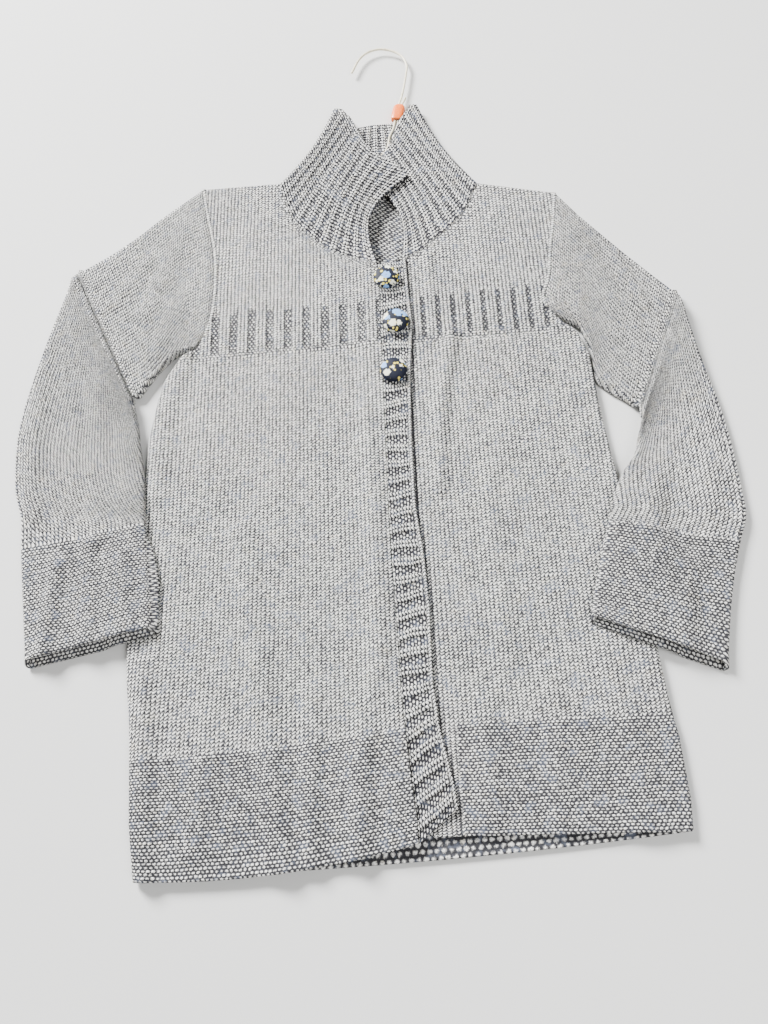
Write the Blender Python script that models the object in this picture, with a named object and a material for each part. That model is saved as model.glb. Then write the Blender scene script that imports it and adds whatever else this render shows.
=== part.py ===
"""Wool cardigan laid flat, with a thin wire hanger lying in its neck.

Frame: +X is the viewer's right, +Y points to the collar, +Z is up and the cardigan rests on z = 0.
Plan positions in the tables are millimetres from the middle of the shoulders. They are moved by
PLAN_SHIFT, so that the whole thing stands centred on the origin. "Left" and "right" in the pieces'
names are the wearer's, so the right front is on the -X side and buttons over the left front.
"""
import bpy
import bmesh
import numpy as np
from math import cos, pi, sin

# Driving sizes, in millimetres
MM = 0.001
WALL = 2.4                    # thickness of the knitted cloth
SEAM = 0.3                    # air between two pieces at a seam
LAY = 0.4                     # air between a piece and the one it lies on
PLAN_SHIFT = (25.35, 192.3)   # brings the middle of the outline to the origin
FULL_HEIGHT = 9.0             # height of both layers where the hanger lies between them
LOW_HEIGHT = 6.0              # height of both layers lower down
FULL_FROM_Y = -110.0
LOW_FROM_Y = -260.0
ROLL_STEPS = (0.0, 0.8, 2.2, 4.5)     # columns and rows that round a folded edge
INNER_ROUND = 1.2             # radius of the inner face at a folded edge

# Outline of the body, from the hem corner up the side, round the underarm and to the shoulder
SIDE_LEFT_X = ((-190.0, -578.0), (-193.0, -560.0), (-196.0, -540.0), (-199.0, -500.0),
               (-201.0, -475.0), (-206.0, -440.0), (-208.0, -415.0), (-207.0, -380.0),
               (-205.0, -320.0), (-204.5, -290.0), (-203.5, -240.0), (-200.5, -220.0),
               (-197.5, -200.0), (-192.0, -180.0), (-180.0, -160.0), (-165.0, -152.0))
ARMHOLE_LEFT_X = ((-165.0, -152.0), (-157.0, -140.0), (-152.0, -120.0), (-150.0, -90.0),
                  (-152.0, -50.0), (-160.0, -10.0), (-167.0, 28.0))
SIDE_RIGHT_X = ((190.0, -560.0), (192.0, -540.0), (191.5, -500.0), (189.0, -480.0),
                (187.0, -440.0), (186.0, -400.0), (183.0, -350.0), (178.5, -300.0),
                (175.0, -260.0), (173.0, -220.0), (172.0, -190.0), (165.0, -167.0),
                (150.0, -152.0))
ARMHOLE_RIGHT_X = ((150.0, -152.0), (141.0, -141.0), (140.0, -130.0), (147.0, -110.0),
                   (152.0, -80.0), (158.0, -50.0), (163.0, -18.0))

# Neck seam of each front, from the buttoned edge to the shoulder, and of the back
NECK_RIGHT_FRONT = ((-1.2, -84.0), (-20.0, -75.0), (-35.0, -67.0), (-52.0, -55.0),
                    (-65.0, -40.0), (-78.0, -25.0), (-85.0, -5.0), (-93.0, 26.0))
NECK_LEFT_FRONT = ((18.3, -82.0), (40.0, -70.0), (47.0, -63.0), (62.0, -52.0),
                   (75.0, -38.0), (84.0, -26.0), (87.0, -17.0), (95.5, 2.0))
BACK_TOP = ((-167.0, 28.0), (-93.0, 26.0), (-90.3, 21.9), (-85.0, 14.0), (-65.0, 5.0),
            (-30.0, 0.0), (1.0, -1.0), (30.0, -2.0), (62.0, -3.0), (84.0, -2.0), (91.0, 0.4),
            (95.5, 2.0), (163.0, -18.0))

# Courses of the right front below the neck: y at the side, y at the buttoned edge,
# sag of the row's middle, raise of the outer face, 1 where the yoke ribs stand full
RIGHT_FRONT_COURSES = (
    (-578.0, -561.0, -7.0, 0.5, 0), (-560.0, -545.0, -4.0, 0.5, 0), (-538.0, -525.0, -3.0, 0.5, 0),
    (-515.0, -503.0, -3.0, 0.5, 0), (-500.0, -487.0, -3.0, 0.5, 0), (-498.0, -485.0, -3.0, 0.0, 0),
    (-470.0, -460.0, 0.0, 0.0, 0), (-430.0, -430.0, 0.0, 0.0, 0), (-400.0, -400.0, 0.0, 0.0, 0),
    (-360.0, -360.0, 0.0, 0.0, 0), (-320.0, -320.0, 0.0, 0.0, 0), (-290.0, -290.0, 0.0, 0.0, 0),
    (-260.0, -260.0, 0.0, 0.0, 0), (-230.0, -230.0, 0.0, 0.0, 0), (-200.0, -200.0, 0.0, 0.0, 0),
    (-180.0, -180.0, 0.0, 0.0, 0), (-164.0, -164.0, 0.0, 0.0, 0), (-162.0, -162.0, 0.0, 0.0, 1),
    (-152.0, -150.0, 0.0, 0.0, 1), (-140.0, -140.0, 0.0, 0.0, 1), (-122.0, -122.0, 0.0, 0.0, 1),
    (-120.0, -120.0, 0.0, 0.0, 0), (-105.0, -103.0, 0.0, 0.0, 0), (-90.0, -84.0, 0.0, 0.0, 0))
RIGHT_FRONT_NECK_SIDE_Y = (-70.0, -50.0, -30.0, -10.0, 2.0, 14.0, 28.0)
LEFT_FRONT_COURSES = (
    (-560.0, -557.0, 0.0, 0.5, 0), (-540.0, -540.0, 0.0, 0.5, 0), (-512.0, -512.0, 0.0, 0.5, 0),
    (-486.0, -486.0, 0.0, 0.5, 0), (-484.0, -484.0, 0.0, 0.0, 0), (-440.0, -440.0, 0.0, 0.0, 0),
    (-400.0, -400.0, 0.0, 0.0, 0), (-350.0, -350.0, 0.0, 0.0, 0), (-320.0, -320.0, 0.0, 0.0, 0),
    (-290.0, -290.0, 0.0, 0.0, 0), (-260.0, -260.0, 0.0, 0.0, 0), (-240.0, -240.0, 0.0, 0.0, 0),
    (-220.0, -220.0, 0.0, 0.0, 0), (-205.0, -205.0, 0.0, 0.0, 0), (-190.0, -190.0, 0.0, 0.0, 0),
    (-178.0, -178.0, 0.0, 0.0, 0), (-167.0, -166.0, 0.0, 0.0, 0), (-164.0, -163.5, 0.0, 0.0, 0),
    (-162.0, -162.0, 0.0, 0.0, 1), (-152.0, -152.0, 0.0, 0.0, 1), (-141.0, -141.0, 0.0, 0.0, 1),
    (-130.0, -130.0, 0.0, 0.0, 1), (-122.0, -122.0, 0.0, 0.0, 1), (-120.0, -120.0, 0.0, 0.0, 0),
    (-110.0, -108.0, 0.0, 0.0, 0), (-95.0, -94.0, 0.0, 0.0, 0), (-88.0, -82.0, 0.0, 0.0, 0))
LEFT_FRONT_NECK_SIDE_Y = (-80.0, -70.0, -60.0, -50.0, -42.0, -34.0, -18.0)
LEFT_FRONT_EDGE_X = 18.3      # seam between the left front and the band beneath

# Courses of the back: y at the left side, y at the right side, sag, share of the neck's shape
BACK_COURSES = (
    (-576.0, -560.0, -4.6, 0.0), (-540.0, -540.0, 0.0, 0.0), (-500.0, -500.0, 0.0, 0.0),
    (-475.0, -480.0, 0.0, 0.0), (-440.0, -440.0, 0.0, 0.0), (-415.0, -400.0, 0.0, 0.0),
    (-380.0, -350.0, 0.0, 0.0), (-320.0, -300.0, 0.0, 0.0), (-290.0, -280.0, 0.0, 0.0),
    (-260.0, -260.0, 0.0, 0.0), (-240.0, -240.0, 0.0, 0.0), (-220.0, -220.0, 0.0, 0.0),
    (-200.0, -190.0, 0.0, 0.0), (-180.0, -178.0, 0.0, 0.0), (-160.0, -167.0, 0.0, 0.0),
    (-152.0, -152.0, 0.0, 0.0), (-147.0, -147.5, 0.0, 0.0), (-140.0, -141.0, 0.0, 0.0),
    (-130.0, -130.0, 0.0, 0.0), (-120.0, -110.0, 0.0, 0.0), (-90.0, -80.0, 0.0, 0.0), (-50.0, -50.0, 0.0, 0.1),
    (-10.0, -40.0, 0.0, 0.35), (12.0, -30.0, 0.0, 0.7), (28.0, -18.0, 0.0, 1.0))

# Yoke ribs: first purl groove, pitch and number of grooves on each front, and their band
YOKE_RIGHT_FRONT = (-148.0, 16.33, 7)
YOKE_LEFT_FRONT = (36.0, 13.1, 8)
YOKE_RAISE = 0.8
GROOVE_HALF = 2.0
GROOVE_SLOPE = 1.5

# Buttoned band that lies on top, from the neck to the hem: left x, left y, right x, right y
BAND_ROWS = (
    (-0.9, -83.5, 24.0, -80.5), (0.1, -120.0, 25.0, -119.0), (-0.9, -150.0, 26.5, -148.0),
    (-1.2, -200.0, 22.0, -199.0), (-1.7, -260.0, 20.0, -259.0), (-1.7, -320.0, 20.0, -318.0),
    (-0.8, -360.0, 24.0, -357.0), (0.4, -400.0, 26.0, -397.0), (1.4, -460.0, 25.0, -455.0),
    (4.4, -500.0, 28.0, -488.0), (6.4, -525.0, 32.0, -508.0), (8.4, -545.0, 35.0, -524.0),
    (8.4, -561.0, 36.5, -539.0))
BAND_RIBS = 34
BAND_RAISE = 0.7
UNDER_BAND_WIDTH_BEYOND_SEAM = 5.0    # how far the band beneath reaches under the right front
UNDER_BAND_END_Y = (-556.5, -86.0)

# Collar: the free edge of its three stretches, each with its ribs and its sideways bow by rib
COLLAR_TOP_LEFT_FRONT = ((-10.0, 20.0), (12.0, 52.0), (17.0, 64.0), (23.0, 84.0), (31.5, 96.0),
                         (38.0, 106.0), (45.0, 107.0))
COLLAR_TOP_BACK = ((45.0, 107.0), (36.0, 96.0), (28.5, 91.0), (0.0, 92.0), (-18.0, 90.0),
                   (-27.0, 97.0), (-40.0, 113.0))
COLLAR_TOP_RIGHT_FRONT = ((-40.0, 113.0), (-30.0, 110.0), (-22.0, 98.0), (-18.0, 88.0),
                          (-13.0, 72.0), (-8.0, 58.0), (0.0, 47.0), (12.0, 37.0), (22.0, 28.0),
                          (31.0, 14.0))
COLLAR_BOW_LEFT_FRONT = ((0.0, -15.5), (2.0, -7.0), (4.4, -2.0), (7.0, 0.0), (10.0, 5.0))
COLLAR_BOW_BACK = ((0.0, 5.0), (7.5, 0.0), (15.0, -5.0))
COLLAR_BOW_RIGHT_FRONT = ((0.0, -5.0), (3.0, 0.0), (6.0, 2.0), (8.5, 6.0), (10.3, 14.0),
                          (12.0, 21.5))
COLLAR_RAISE = 0.9
COLLAR_HEIGHT_ROWS = (0.0, 0.1, 0.26, 0.45, 0.64, 0.83, 1.0)
COLLAR_GAP = 0.45             # the collar's seam follows the neck's curve a little wider
NECK_MIDDLE = (0.0, 20.0)

# Sleeves, one row per ring from the armhole to the cuff: outer x and y, inner x and y,
# rise of the upper cloth at the outer and at the inner edge
RIGHT_SLEEVE_RINGS = (
    (-186.0, 13.5, -172.0, -154.0, 0.0, 0.0), (-205.0, -1.0, -181.0, -155.5, 0.0, 0.0),
    (-228.0, -22.0, -192.0, -165.0, 0.0, 0.0), (-254.0, -41.0, -203.0, -179.0, 0.0, 0.0),
    (-272.0, -51.5, -211.0, -191.0, 0.0, 0.0), (-282.5, -57.5, -216.5, -200.0, 0.0, 0.0),
    (-284.6, -59.2, -218.4, -202.2, 1.2, 5.0), (-287.5, -62.5, -218.0, -206.5, 1.2, 5.2),
    (-291.0, -82.0, -215.0, -217.0, 1.0, 4.2), (-298.0, -106.0, -211.5, -229.0, 0.7, 3.0),
    (-305.0, -132.0, -208.5, -241.0, 0.4, 1.6), (-312.0, -163.0, -205.5, -254.0, 0.0, 0.6),
    (-318.0, -196.0, -203.0, -268.0, 0.0, 0.0), (-321.0, -225.0, -201.5, -282.0, 0.0, 0.0),
    (-319.5, -252.0, -200.0, -295.0, 0.0, 0.0), (-316.0, -279.0, -199.0, -304.0, 0.0, 0.0),
    (-307.0, -301.0, -198.2, -311.0, 0.0, 0.0), (-303.5, -331.0, -197.6, -317.0, 0.0, 0.0),
    (-303.0, -333.5, -197.5, -319.5, 0.5, 0.5), (-298.5, -360.0, -193.5, -345.0, 0.5, 0.5),
    (-293.5, -388.0, -190.0, -372.0, 0.8, 0.5), (-289.0, -411.0, -187.4, -391.0, 2.2, 0.6),
    (-286.5, -421.0, -187.0, -402.0, 3.4, 0.8))
LEFT_SLEEVE_RINGS = (
    (181.0, -46.0, 167.6, -164.5, 0.0, 0.0), (198.0, -69.5, 173.8, -188.0, 0.0, 0.0),
    (216.0, -94.0, 174.4, -213.0, 0.0, 0.0), (234.0, -117.0, 187.0, -226.0, 0.0, 0.0),
    (246.0, -131.5, 197.0, -238.0, 0.0, 0.0), (251.6, -138.5, 202.6, -246.0, 0.0, 0.0),
    (253.2, -141.0, 204.4, -248.6, 1.2, 4.5), (254.2, -146.0, 205.0, -253.0, 1.2, 4.6),
    (256.5, -168.0, 202.5, -261.5, 1.0, 3.8), (259.5, -193.0, 199.0, -270.0, 0.7, 2.8),
    (263.0, -218.0, 196.5, -279.0, 0.4, 1.8), (267.0, -243.0, 192.5, -288.5, 0.2, 0.8),
    (269.3, -268.0, 185.0, -297.0, 0.0, 0.2), (270.3, -293.0, 178.8, -306.0, 0.0, 0.0),
    (269.8, -318.0, 172.5, -319.0, 0.0, 0.0), (269.5, -344.0, 168.4, -331.5, 0.0, 0.0),
    (262.0, -358.0, 166.0, -339.0, 0.0, 0.0), (259.8, -363.5, 164.8, -342.0, 0.5, 0.5),
    (252.0, -384.0, 157.5, -363.0, 0.5, 0.5), (244.5, -408.0, 150.5, -384.0, 0.5, 0.5),
    (238.0, -433.0, 144.8, -402.0, 1.0, 0.6), (233.0, -452.0, 142.0, -413.0, 2.4, 0.9))
SLEEVE_GAP = 0.4              # the curved armhole seam, measured along X
LIFT_CLEAR = 0.6              # air between a cuff and the body that it lies on
RING_TOP_SHARES = (0.12, 0.32, 0.5, 0.64, 0.76, 0.86, 0.94)
RING_UNDER_SHARES = (0.96, 0.9, 0.83, 0.74, 0.6, 0.4, 0.15)
RIGHT_INNER_SKIPS = (4, 10, 12, 15, 20)    # rings that the plain inner face leaves out
LEFT_INNER_SKIPS = (4, 10, 14, 20)
RING_EDGE_ANGLES = (-90.0, -45.0, 0.0, 45.0, 90.0)

# Soft ridges that stand in the left front: start, end, half width, height
LEFT_FRONT_RIDGES = (((68.0, -160.0), (56.0, -212.0), 12.0, 1.5),
                     ((56.0, -212.0), (49.0, -262.0), 11.0, 1.2),
                     ((43.0, -72.0), (42.0, -118.0), 8.0, 1.0))
HEM_CREASE = (-37.0, -481.0, 1.6)     # x, top y and height of the crease in the right front's hem

# Buttons on the band: x, y
BUTTON_PLACES = ((6.0, -101.0), (12.0, -147.0), (8.0, -195.0))
BUTTON_SEAT = 0.3
# Turned profile of a covered button, from its underside to its crown: radius, height
BUTTON_PROFILE = ((8.2, 0.0), (10.4, 0.5), (11.3, 1.6), (11.5, 2.6), (11.0, 3.9), (9.6, 5.0),
                  (7.2, 5.8), (4.0, 6.3))
BUTTON_SIDES = 24

# Hanger of thin coated wire: hook strand, short strand and the moulded size clip
WIRE = 2.3
WIRE_Z = 4.95
HOOK_ROUTE = ((-19.4, 164.4), (-11.7, 181.4), (-2.8, 190.4), (10.0, 193.4), (23.0, 188.6),
              (32.5, 179.5), (36.7, 166.0), (35.4, 153.4), (31.8, 133.6), (28.9, 121.0),
              (26.0, 112.0), (23.8, 102.4), (21.6, 92.7), (19.6, 82.5), (15.4, 72.0),
              (13.2, 60.0), (9.0, 51.5), (0.0, 46.5), (-30.0, 38.0), (-60.0, 26.0),
              (-90.0, 12.0), (-120.0, 2.0), (-148.0, -8.0))
ARM_ROUTE = ((33.2, 121.5), (31.0, 116.5), (28.6, 111.4), (26.4, 101.8), (24.2, 92.1),
             (27.5, 80.0), (38.0, 60.0), (57.0, 35.0), (82.0, 6.0), (110.0, -18.0),
             (146.0, -34.0))
WIRE_STEP = 7.5
CLIP_FOOT = (22.9, 92.4)
CLIP_HEAD = (27.3, 111.7)
CLIP_HALF_WIDTH = 6.0
CLIP_HALF_DEPTH = 3.8
CLIP_BORE_HALF_WIDTH = 2.85
CLIP_BORE_HALF_DEPTH = 1.5
CLIP_SIDES = 20
# Fullness of the clip along its length: share of the length, share of the full section
CLIP_SECTIONS = ((0.0, 0.80), (0.12, 0.96), (0.5, 1.0), (0.8, 0.97), (0.93, 0.80), (1.0, 0.62))


def finish(name, colour, roughness, metallic=0.0):
    """A Principled material with the piece's colour."""
    material = bpy.data.materials.new(name)
    material.use_nodes = True
    shader = material.node_tree.nodes["Principled BSDF"]
    shader.inputs["Base Color"].default_value = (*colour, 1.0)
    shader.inputs["Roughness"].default_value = roughness
    shader.inputs["Metallic"].default_value = metallic
    return material


def smooth(value, start, end):
    """Soft step from 0 at start to 1 at end."""
    share = np.clip((value - start) / (end - start), 0.0, 1.0)
    return share * share * (3.0 - 2.0 * share)


def body_height(y):
    """Height of the two layers of the body, lower towards the hem."""
    return np.interp(y, (LOW_FROM_Y, FULL_FROM_Y), (LOW_HEIGHT, FULL_HEIGHT))


def along(chain, share):
    """Points at the given shares of a chain's length."""
    chain = np.asarray(chain, float)
    steps = np.linalg.norm(np.diff(chain, axis=0), axis=1)
    reach = np.concatenate(([0.0], np.cumsum(steps))) / steps.sum()
    return np.stack([np.interp(share, reach, chain[:, axis]) for axis in range(chain.shape[1])], -1)


def chain_x(chain, y):
    """X of a chain that runs steadily in Y."""
    chain = np.asarray(sorted(chain, key=lambda point: point[1]), float)
    return np.interp(y, chain[:, 1], chain[:, 0])


def edge_distance(points, chains, inside):
    """Distance of plan points to the nearest chain, and the direction inwards from it."""
    nearest_distance = np.full(len(points), np.inf)
    inward = np.zeros((len(points), 2))
    for chain in chains:
        corners = np.asarray(chain, float)
        for start, end in zip(corners[:-1], corners[1:]):
            run = end - start
            share = np.clip(((points - start) @ run) / (run @ run), 0.0, 1.0)
            distance = np.linalg.norm(points - start - share[:, None] * run, axis=1)
            normal = np.array((-run[1], run[0])) / np.linalg.norm(run)
            if (np.asarray(inside) - start) @ normal < 0.0:
                normal = -normal
            closer = distance < nearest_distance
            nearest_distance = np.where(closer, distance, nearest_distance)
            inward[closer] = normal
    return nearest_distance, inward


def round_off(distance, radius):
    """Height share of a rounded edge: 0 on the edge and 1 from one radius inwards."""
    share = np.clip(1.0 - distance / radius, 0.0, 1.0)
    return np.sqrt(1.0 - share * share)


def zip_rows(faces, heights, first, second, first_keys, second_keys):
    """Triangles between two rows of any number of points, matched by a key that grows along both.

    Where the keys are level, the diagonal with the smaller change of height is taken.
    """
    i = 0
    j = 0
    while i < len(first) - 1 or j < len(second) - 1:
        if j == len(second) - 1:
            first_next = True
        elif i == len(first) - 1:
            first_next = False
        elif abs(first_keys[i + 1] - second_keys[j + 1]) < 1e-9:
            rise_a = abs(heights[first[i + 1]] - heights[second[j]])
            rise_b = abs(heights[first[i]] - heights[second[j + 1]])
            first_next = rise_a <= rise_b
        else:
            first_next = first_keys[i + 1] < second_keys[j + 1]
        if first_next:
            faces.append((first[i], first[i + 1], second[j]))
            i += 1
        else:
            faces.append((first[i], second[j + 1], second[j]))
            j += 1


def make_wall(name, material, outer, inner):
    """One cloth wall between an outer and an inner face.

    Each face is a list of rows of x, y, z and a key along the row, with the row's own key.
    """
    points = np.concatenate([row[:, :3] for _, row in outer + inner])
    ends = np.cumsum([len(row) for _, row in outer + inner])
    numbers = np.split(np.arange(len(points)), ends[:-1])
    sides = []
    for face, face_numbers in ((outer, numbers[:len(outer)]), (inner, numbers[len(outer):])):
        sides.append([(key, row[:, 3], list(own)) for (key, row), own in zip(face, face_numbers)])
    faces = []
    for rows in sides:
        for (_, first_keys, first), (_, second_keys, second) in zip(rows[:-1], rows[1:]):
            zip_rows(faces, points[:, 2], first, second, first_keys, second_keys)
    for end in (0, -1):
        (_, outer_keys, outer_row), (_, inner_keys, inner_row) = sides[0][end], sides[1][end]
        zip_rows(faces, points[:, 2], outer_row, inner_row, outer_keys, inner_keys)
        rims = [([row[2][end] for row in rows], [row[0] for row in rows]) for rows in sides]
        zip_rows(faces, points[:, 2], rims[0][0], rims[1][0], rims[0][1], rims[1][1])
    return make_object(name, material, points, faces)


def make_tube(name, material, outer, inner):
    """One wall between two nests of closed rings, every ring with the same number of points."""
    points = np.concatenate(outer + inner)
    count = len(outer[0])
    numbers = np.arange(len(points)).reshape(-1, count)
    outside = numbers[:len(outer)]
    inside = numbers[len(outer):]
    pairs = list(zip(outside[:-1], outside[1:])) + list(zip(inside[:-1], inside[1:]))
    pairs += [(outside[0], inside[0]), (outside[-1], inside[-1])]
    faces = []
    for first, second in pairs:
        for k in range(count):
            beside = (k + 1) % count
            faces.append((first[k], first[beside], second[beside], second[k]))
    return make_object(name, material, points, faces)


def make_object(name, material, points, faces):
    """A mesh object from points in millimetres, with its faces turned outwards."""
    place = np.array((PLAN_SHIFT[0], PLAN_SHIFT[1], 0.0))
    mesh = bpy.data.meshes.new(name)
    mesh.from_pydata(((np.asarray(points) + place) * MM).tolist(), [], faces)
    work = bmesh.new()
    work.from_mesh(mesh)
    bmesh.ops.recalc_face_normals(work, faces=work.faces)
    work.to_mesh(mesh)
    work.free()
    mesh.materials.append(material)
    mesh.shade_smooth()
    mesh.set_sharp_from_angle(angle=pi / 4)
    piece = bpy.data.objects.new(name, mesh)
    bpy.context.collection.objects.link(piece)
    return piece


def lay_row(left, right, shares, sag=0.0):
    """Plan points of one course between its two ends, its middle moved along Y by the sag."""
    left = np.asarray(left, float)
    right = np.asarray(right, float)
    points = left + (right - left) * shares[:, None]
    points[:, 1] += sag * 4.0 * shares * (1.0 - shares)
    return points


def panel_faces(courses, folds, inside, top, raised, ends):
    """Outer and inner rows of a front: each course has fine and plain shares, ends, sag, raise."""
    outer = []
    inner = []
    for number, (left, right, sag, fine, plain, raise_by) in enumerate(courses):
        points = lay_row(left, right, fine, sag)
        distance, _ = edge_distance(points, folds, inside)
        middle = body_height(points[:, 1]) / 2.0
        rim = middle + SEAM / 2.0
        relief = raised(points, raise_by) * smooth(distance, 0.5, 5.0)
        height = rim + (top(points) - rim) * round_off(distance, middle) + relief
        outer.append((number, np.column_stack((points, height, fine))))
        points, distance = step_inside(lay_row(left, right, plain, sag), folds, inside, ends)
        rim = body_height(points[:, 1]) / 2.0 + SEAM / 2.0
        height = rim + (top(points) - WALL - rim) * round_off(distance, INNER_ROUND)
        inner.append((number, np.column_stack((points, height, plain))))
    return outer, inner


def step_inside(points, folds, inside, ends):
    """Inner face's plan points beside folded edges, and their distance beyond the first wall."""
    distance, inward = edge_distance(points, folds, inside)
    step_back = WALL * np.clip(1.0 - distance / (3.0 * WALL), 0.0, 1.0)
    across = np.abs(inward[:, 0]) > 0.3
    slide = step_back / np.clip(np.abs(inward[:, 0]), 0.8, 1.0) * np.sign(inward[:, 0])
    moved = points.copy()
    moved[:, 0] += np.where(across, slide, 0.0)
    moved[:, 1] -= np.where(across, 0.0, step_back)
    for column, chain in ends:
        if not across[column] and step_back[column] > 0.0:
            moved[column, 0] = chain_x(chain, moved[column, 1])
    return moved, distance + step_back - WALL


def ribs_between(x, grooves):
    """Raised knit columns of the yoke: 1 on a rib, 0 in a purl groove and beyond the last ones."""
    first, pitch, count = grooves
    last = first + pitch * (count - 1)
    phase = (x - first) / pitch
    from_groove = np.abs(phase - np.round(phase)) * pitch
    rib = smooth(from_groove, GROOVE_HALF, GROOVE_HALF + GROOVE_SLOPE)
    within = smooth(x, first - 12.0, first - 6.0) * (1.0 - smooth(x, last + 6.0, last + 12.0))
    return rib * within


def rib_columns(grooves):
    """X of the columns that a yoke needs: both edges of each groove's floor and slopes."""
    first, pitch, count = grooves
    edge = GROOVE_HALF + GROOVE_SLOPE
    steps = (-edge, -GROOVE_HALF, GROOVE_HALF, edge)
    columns = [first + pitch * k + step for k in range(count) for step in steps]
    return np.array([first - 12.0, first - 6.0] + columns + [first + pitch * (count - 1) + 11.0])


def shares_for(left, right, from_left, from_right, middle_x=()):
    """Shares along a course: given distances from each end, and given X places between them."""
    left = np.asarray(left, float)
    right = np.asarray(right, float)
    length = np.linalg.norm(right - left)
    places = [step / length for step in from_left]
    places += [1.0 - step / length for step in from_right]
    places += list((np.asarray(middle_x, float) - left[0]) / (right[0] - left[0]))
    places = np.unique(np.round(np.clip(places, 0.0, 1.0), 5))
    keep = np.concatenate(([True], np.diff(places) * length > 0.35))
    return places[keep]


def shoulder_rows(ends):
    """The last course's ends, with three more courses just below it for the rounded shoulder."""
    (left_a, right_a), (left_b, right_b) = ends[-2:]
    rows = []
    for step in ROLL_STEPS[:0:-1]:
        points = []
        for low, high in ((left_a, left_b), (right_a, right_b)):
            low = np.asarray(low, float)
            high = np.asarray(high, float)
            back = min(step / abs(high[1] - low[1]), 0.9)
            points.append(high + (low - high) * back)
        rows.append(tuple(points))
    return ends[:-1] + rows + [ends[-1]]


def band_seam_x(y):
    """X of the seam between the right front and the buttoned band."""
    rows = np.asarray(BAND_ROWS)[::-1]
    return np.interp(y, rows[:, 1], rows[:, 0])


def right_front_top(points):
    """Height of the right front's outer face: it climbs over the band beneath at its edge."""
    from_seam = points[:, 0] - band_seam_x(points[:, 1])
    return body_height(points[:, 1]) + (WALL + LAY) * smooth(from_seam, -26.0, -10.0)


def left_front_top(points):
    """Height of the left front's outer face."""
    return body_height(points[:, 1])


def right_front_raise(points, raise_by):
    """Raised form on the right front: garter thickness, yoke ribs and the crease in the hem."""
    x = points[:, 0]
    crease_x, crease_y, crease_height = HEM_CREASE
    fold = smooth(x, crease_x - 1.5, crease_x) * (1.0 - 0.7 * smooth(x, crease_x, crease_x + 36.0))
    crease = crease_height * fold * (1.0 - smooth(points[:, 1], crease_y - 12.0, crease_y))
    return raise_by[0] + YOKE_RAISE * raise_by[1] * ribs_between(x, YOKE_RIGHT_FRONT) + crease


def left_front_raise(points, raise_by):
    """Raised form on the left front: garter thickness, yoke ribs and the soft folds."""
    x = points[:, 0]
    height = raise_by[0] * smooth(x, 37.0, 42.0)
    height = height + YOKE_RAISE * raise_by[1] * ribs_between(x, YOKE_LEFT_FRONT)
    for start, end, half_width, rise in LEFT_FRONT_RIDGES:
        distance, _ = edge_distance(points, ((start, end),), (0.0, 0.0))
        height = height + rise * (1.0 - smooth(distance, 0.0, half_width))
    return height


def make_right_front(material):
    """Right front: it lies on top, with ribs across the yoke and a garter hem."""
    ends = []
    raises = []
    for side_y, edge_y, sag, thick, ribbed in RIGHT_FRONT_COURSES:
        chain = SIDE_LEFT_X if side_y <= ARMHOLE_LEFT_X[0][1] else ARMHOLE_LEFT_X
        ends.append(((chain_x(chain, side_y), side_y), (band_seam_x(edge_y) - SEAM, edge_y)))
        raises.append((sag, thick, ribbed))
    for side_y, neck in zip(RIGHT_FRONT_NECK_SIDE_Y, NECK_RIGHT_FRONT[1:]):
        ends.append(((chain_x(ARMHOLE_LEFT_X, side_y), side_y), neck))
    ends = shoulder_rows(ends)
    raises += [(0.0, 0.0, 0)] * (len(ends) - len(raises))
    near_edge = (0.0, 9.0, 14.0, 20.0, 27.0, 40.0, 43.0)
    courses = []
    for (left, right), (sag, thick, ribbed) in zip(ends, raises):
        fine_x = rib_columns(YOKE_RIGHT_FRONT) if ribbed else (-150.0, -120.0, -90.0, -65.0)
        fine_x = [x for x in fine_x if left[0] + 6.0 < x < right[0] - 1.0]
        from_left = ROLL_STEPS if left[1] <= -152.0 else (0.0, 4.5)
        plain_x = [x for x in (-150.0, -110.0, -75.0) if left[0] + 6.0 < x < right[0] - 45.0]
        fine = shares_for(left, right, from_left, near_edge if right[0] > -22.0 else (0.0,), fine_x)
        plain = shares_for(left, right, from_left, (0.0, 12.0, 24.0), plain_x)
        courses.append((left, right, sag, fine, plain, (thick, ribbed)))
    folds = (SIDE_LEFT_X, ((-167.0, 28.0), (-93.0, 26.0)))
    outer, inner = panel_faces(courses, folds, (-80.0, -300.0), right_front_top,
                               right_front_raise, ((0, ARMHOLE_LEFT_X), (-1, NECK_RIGHT_FRONT)))
    return make_wall("right_front", material, outer, inner)


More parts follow.
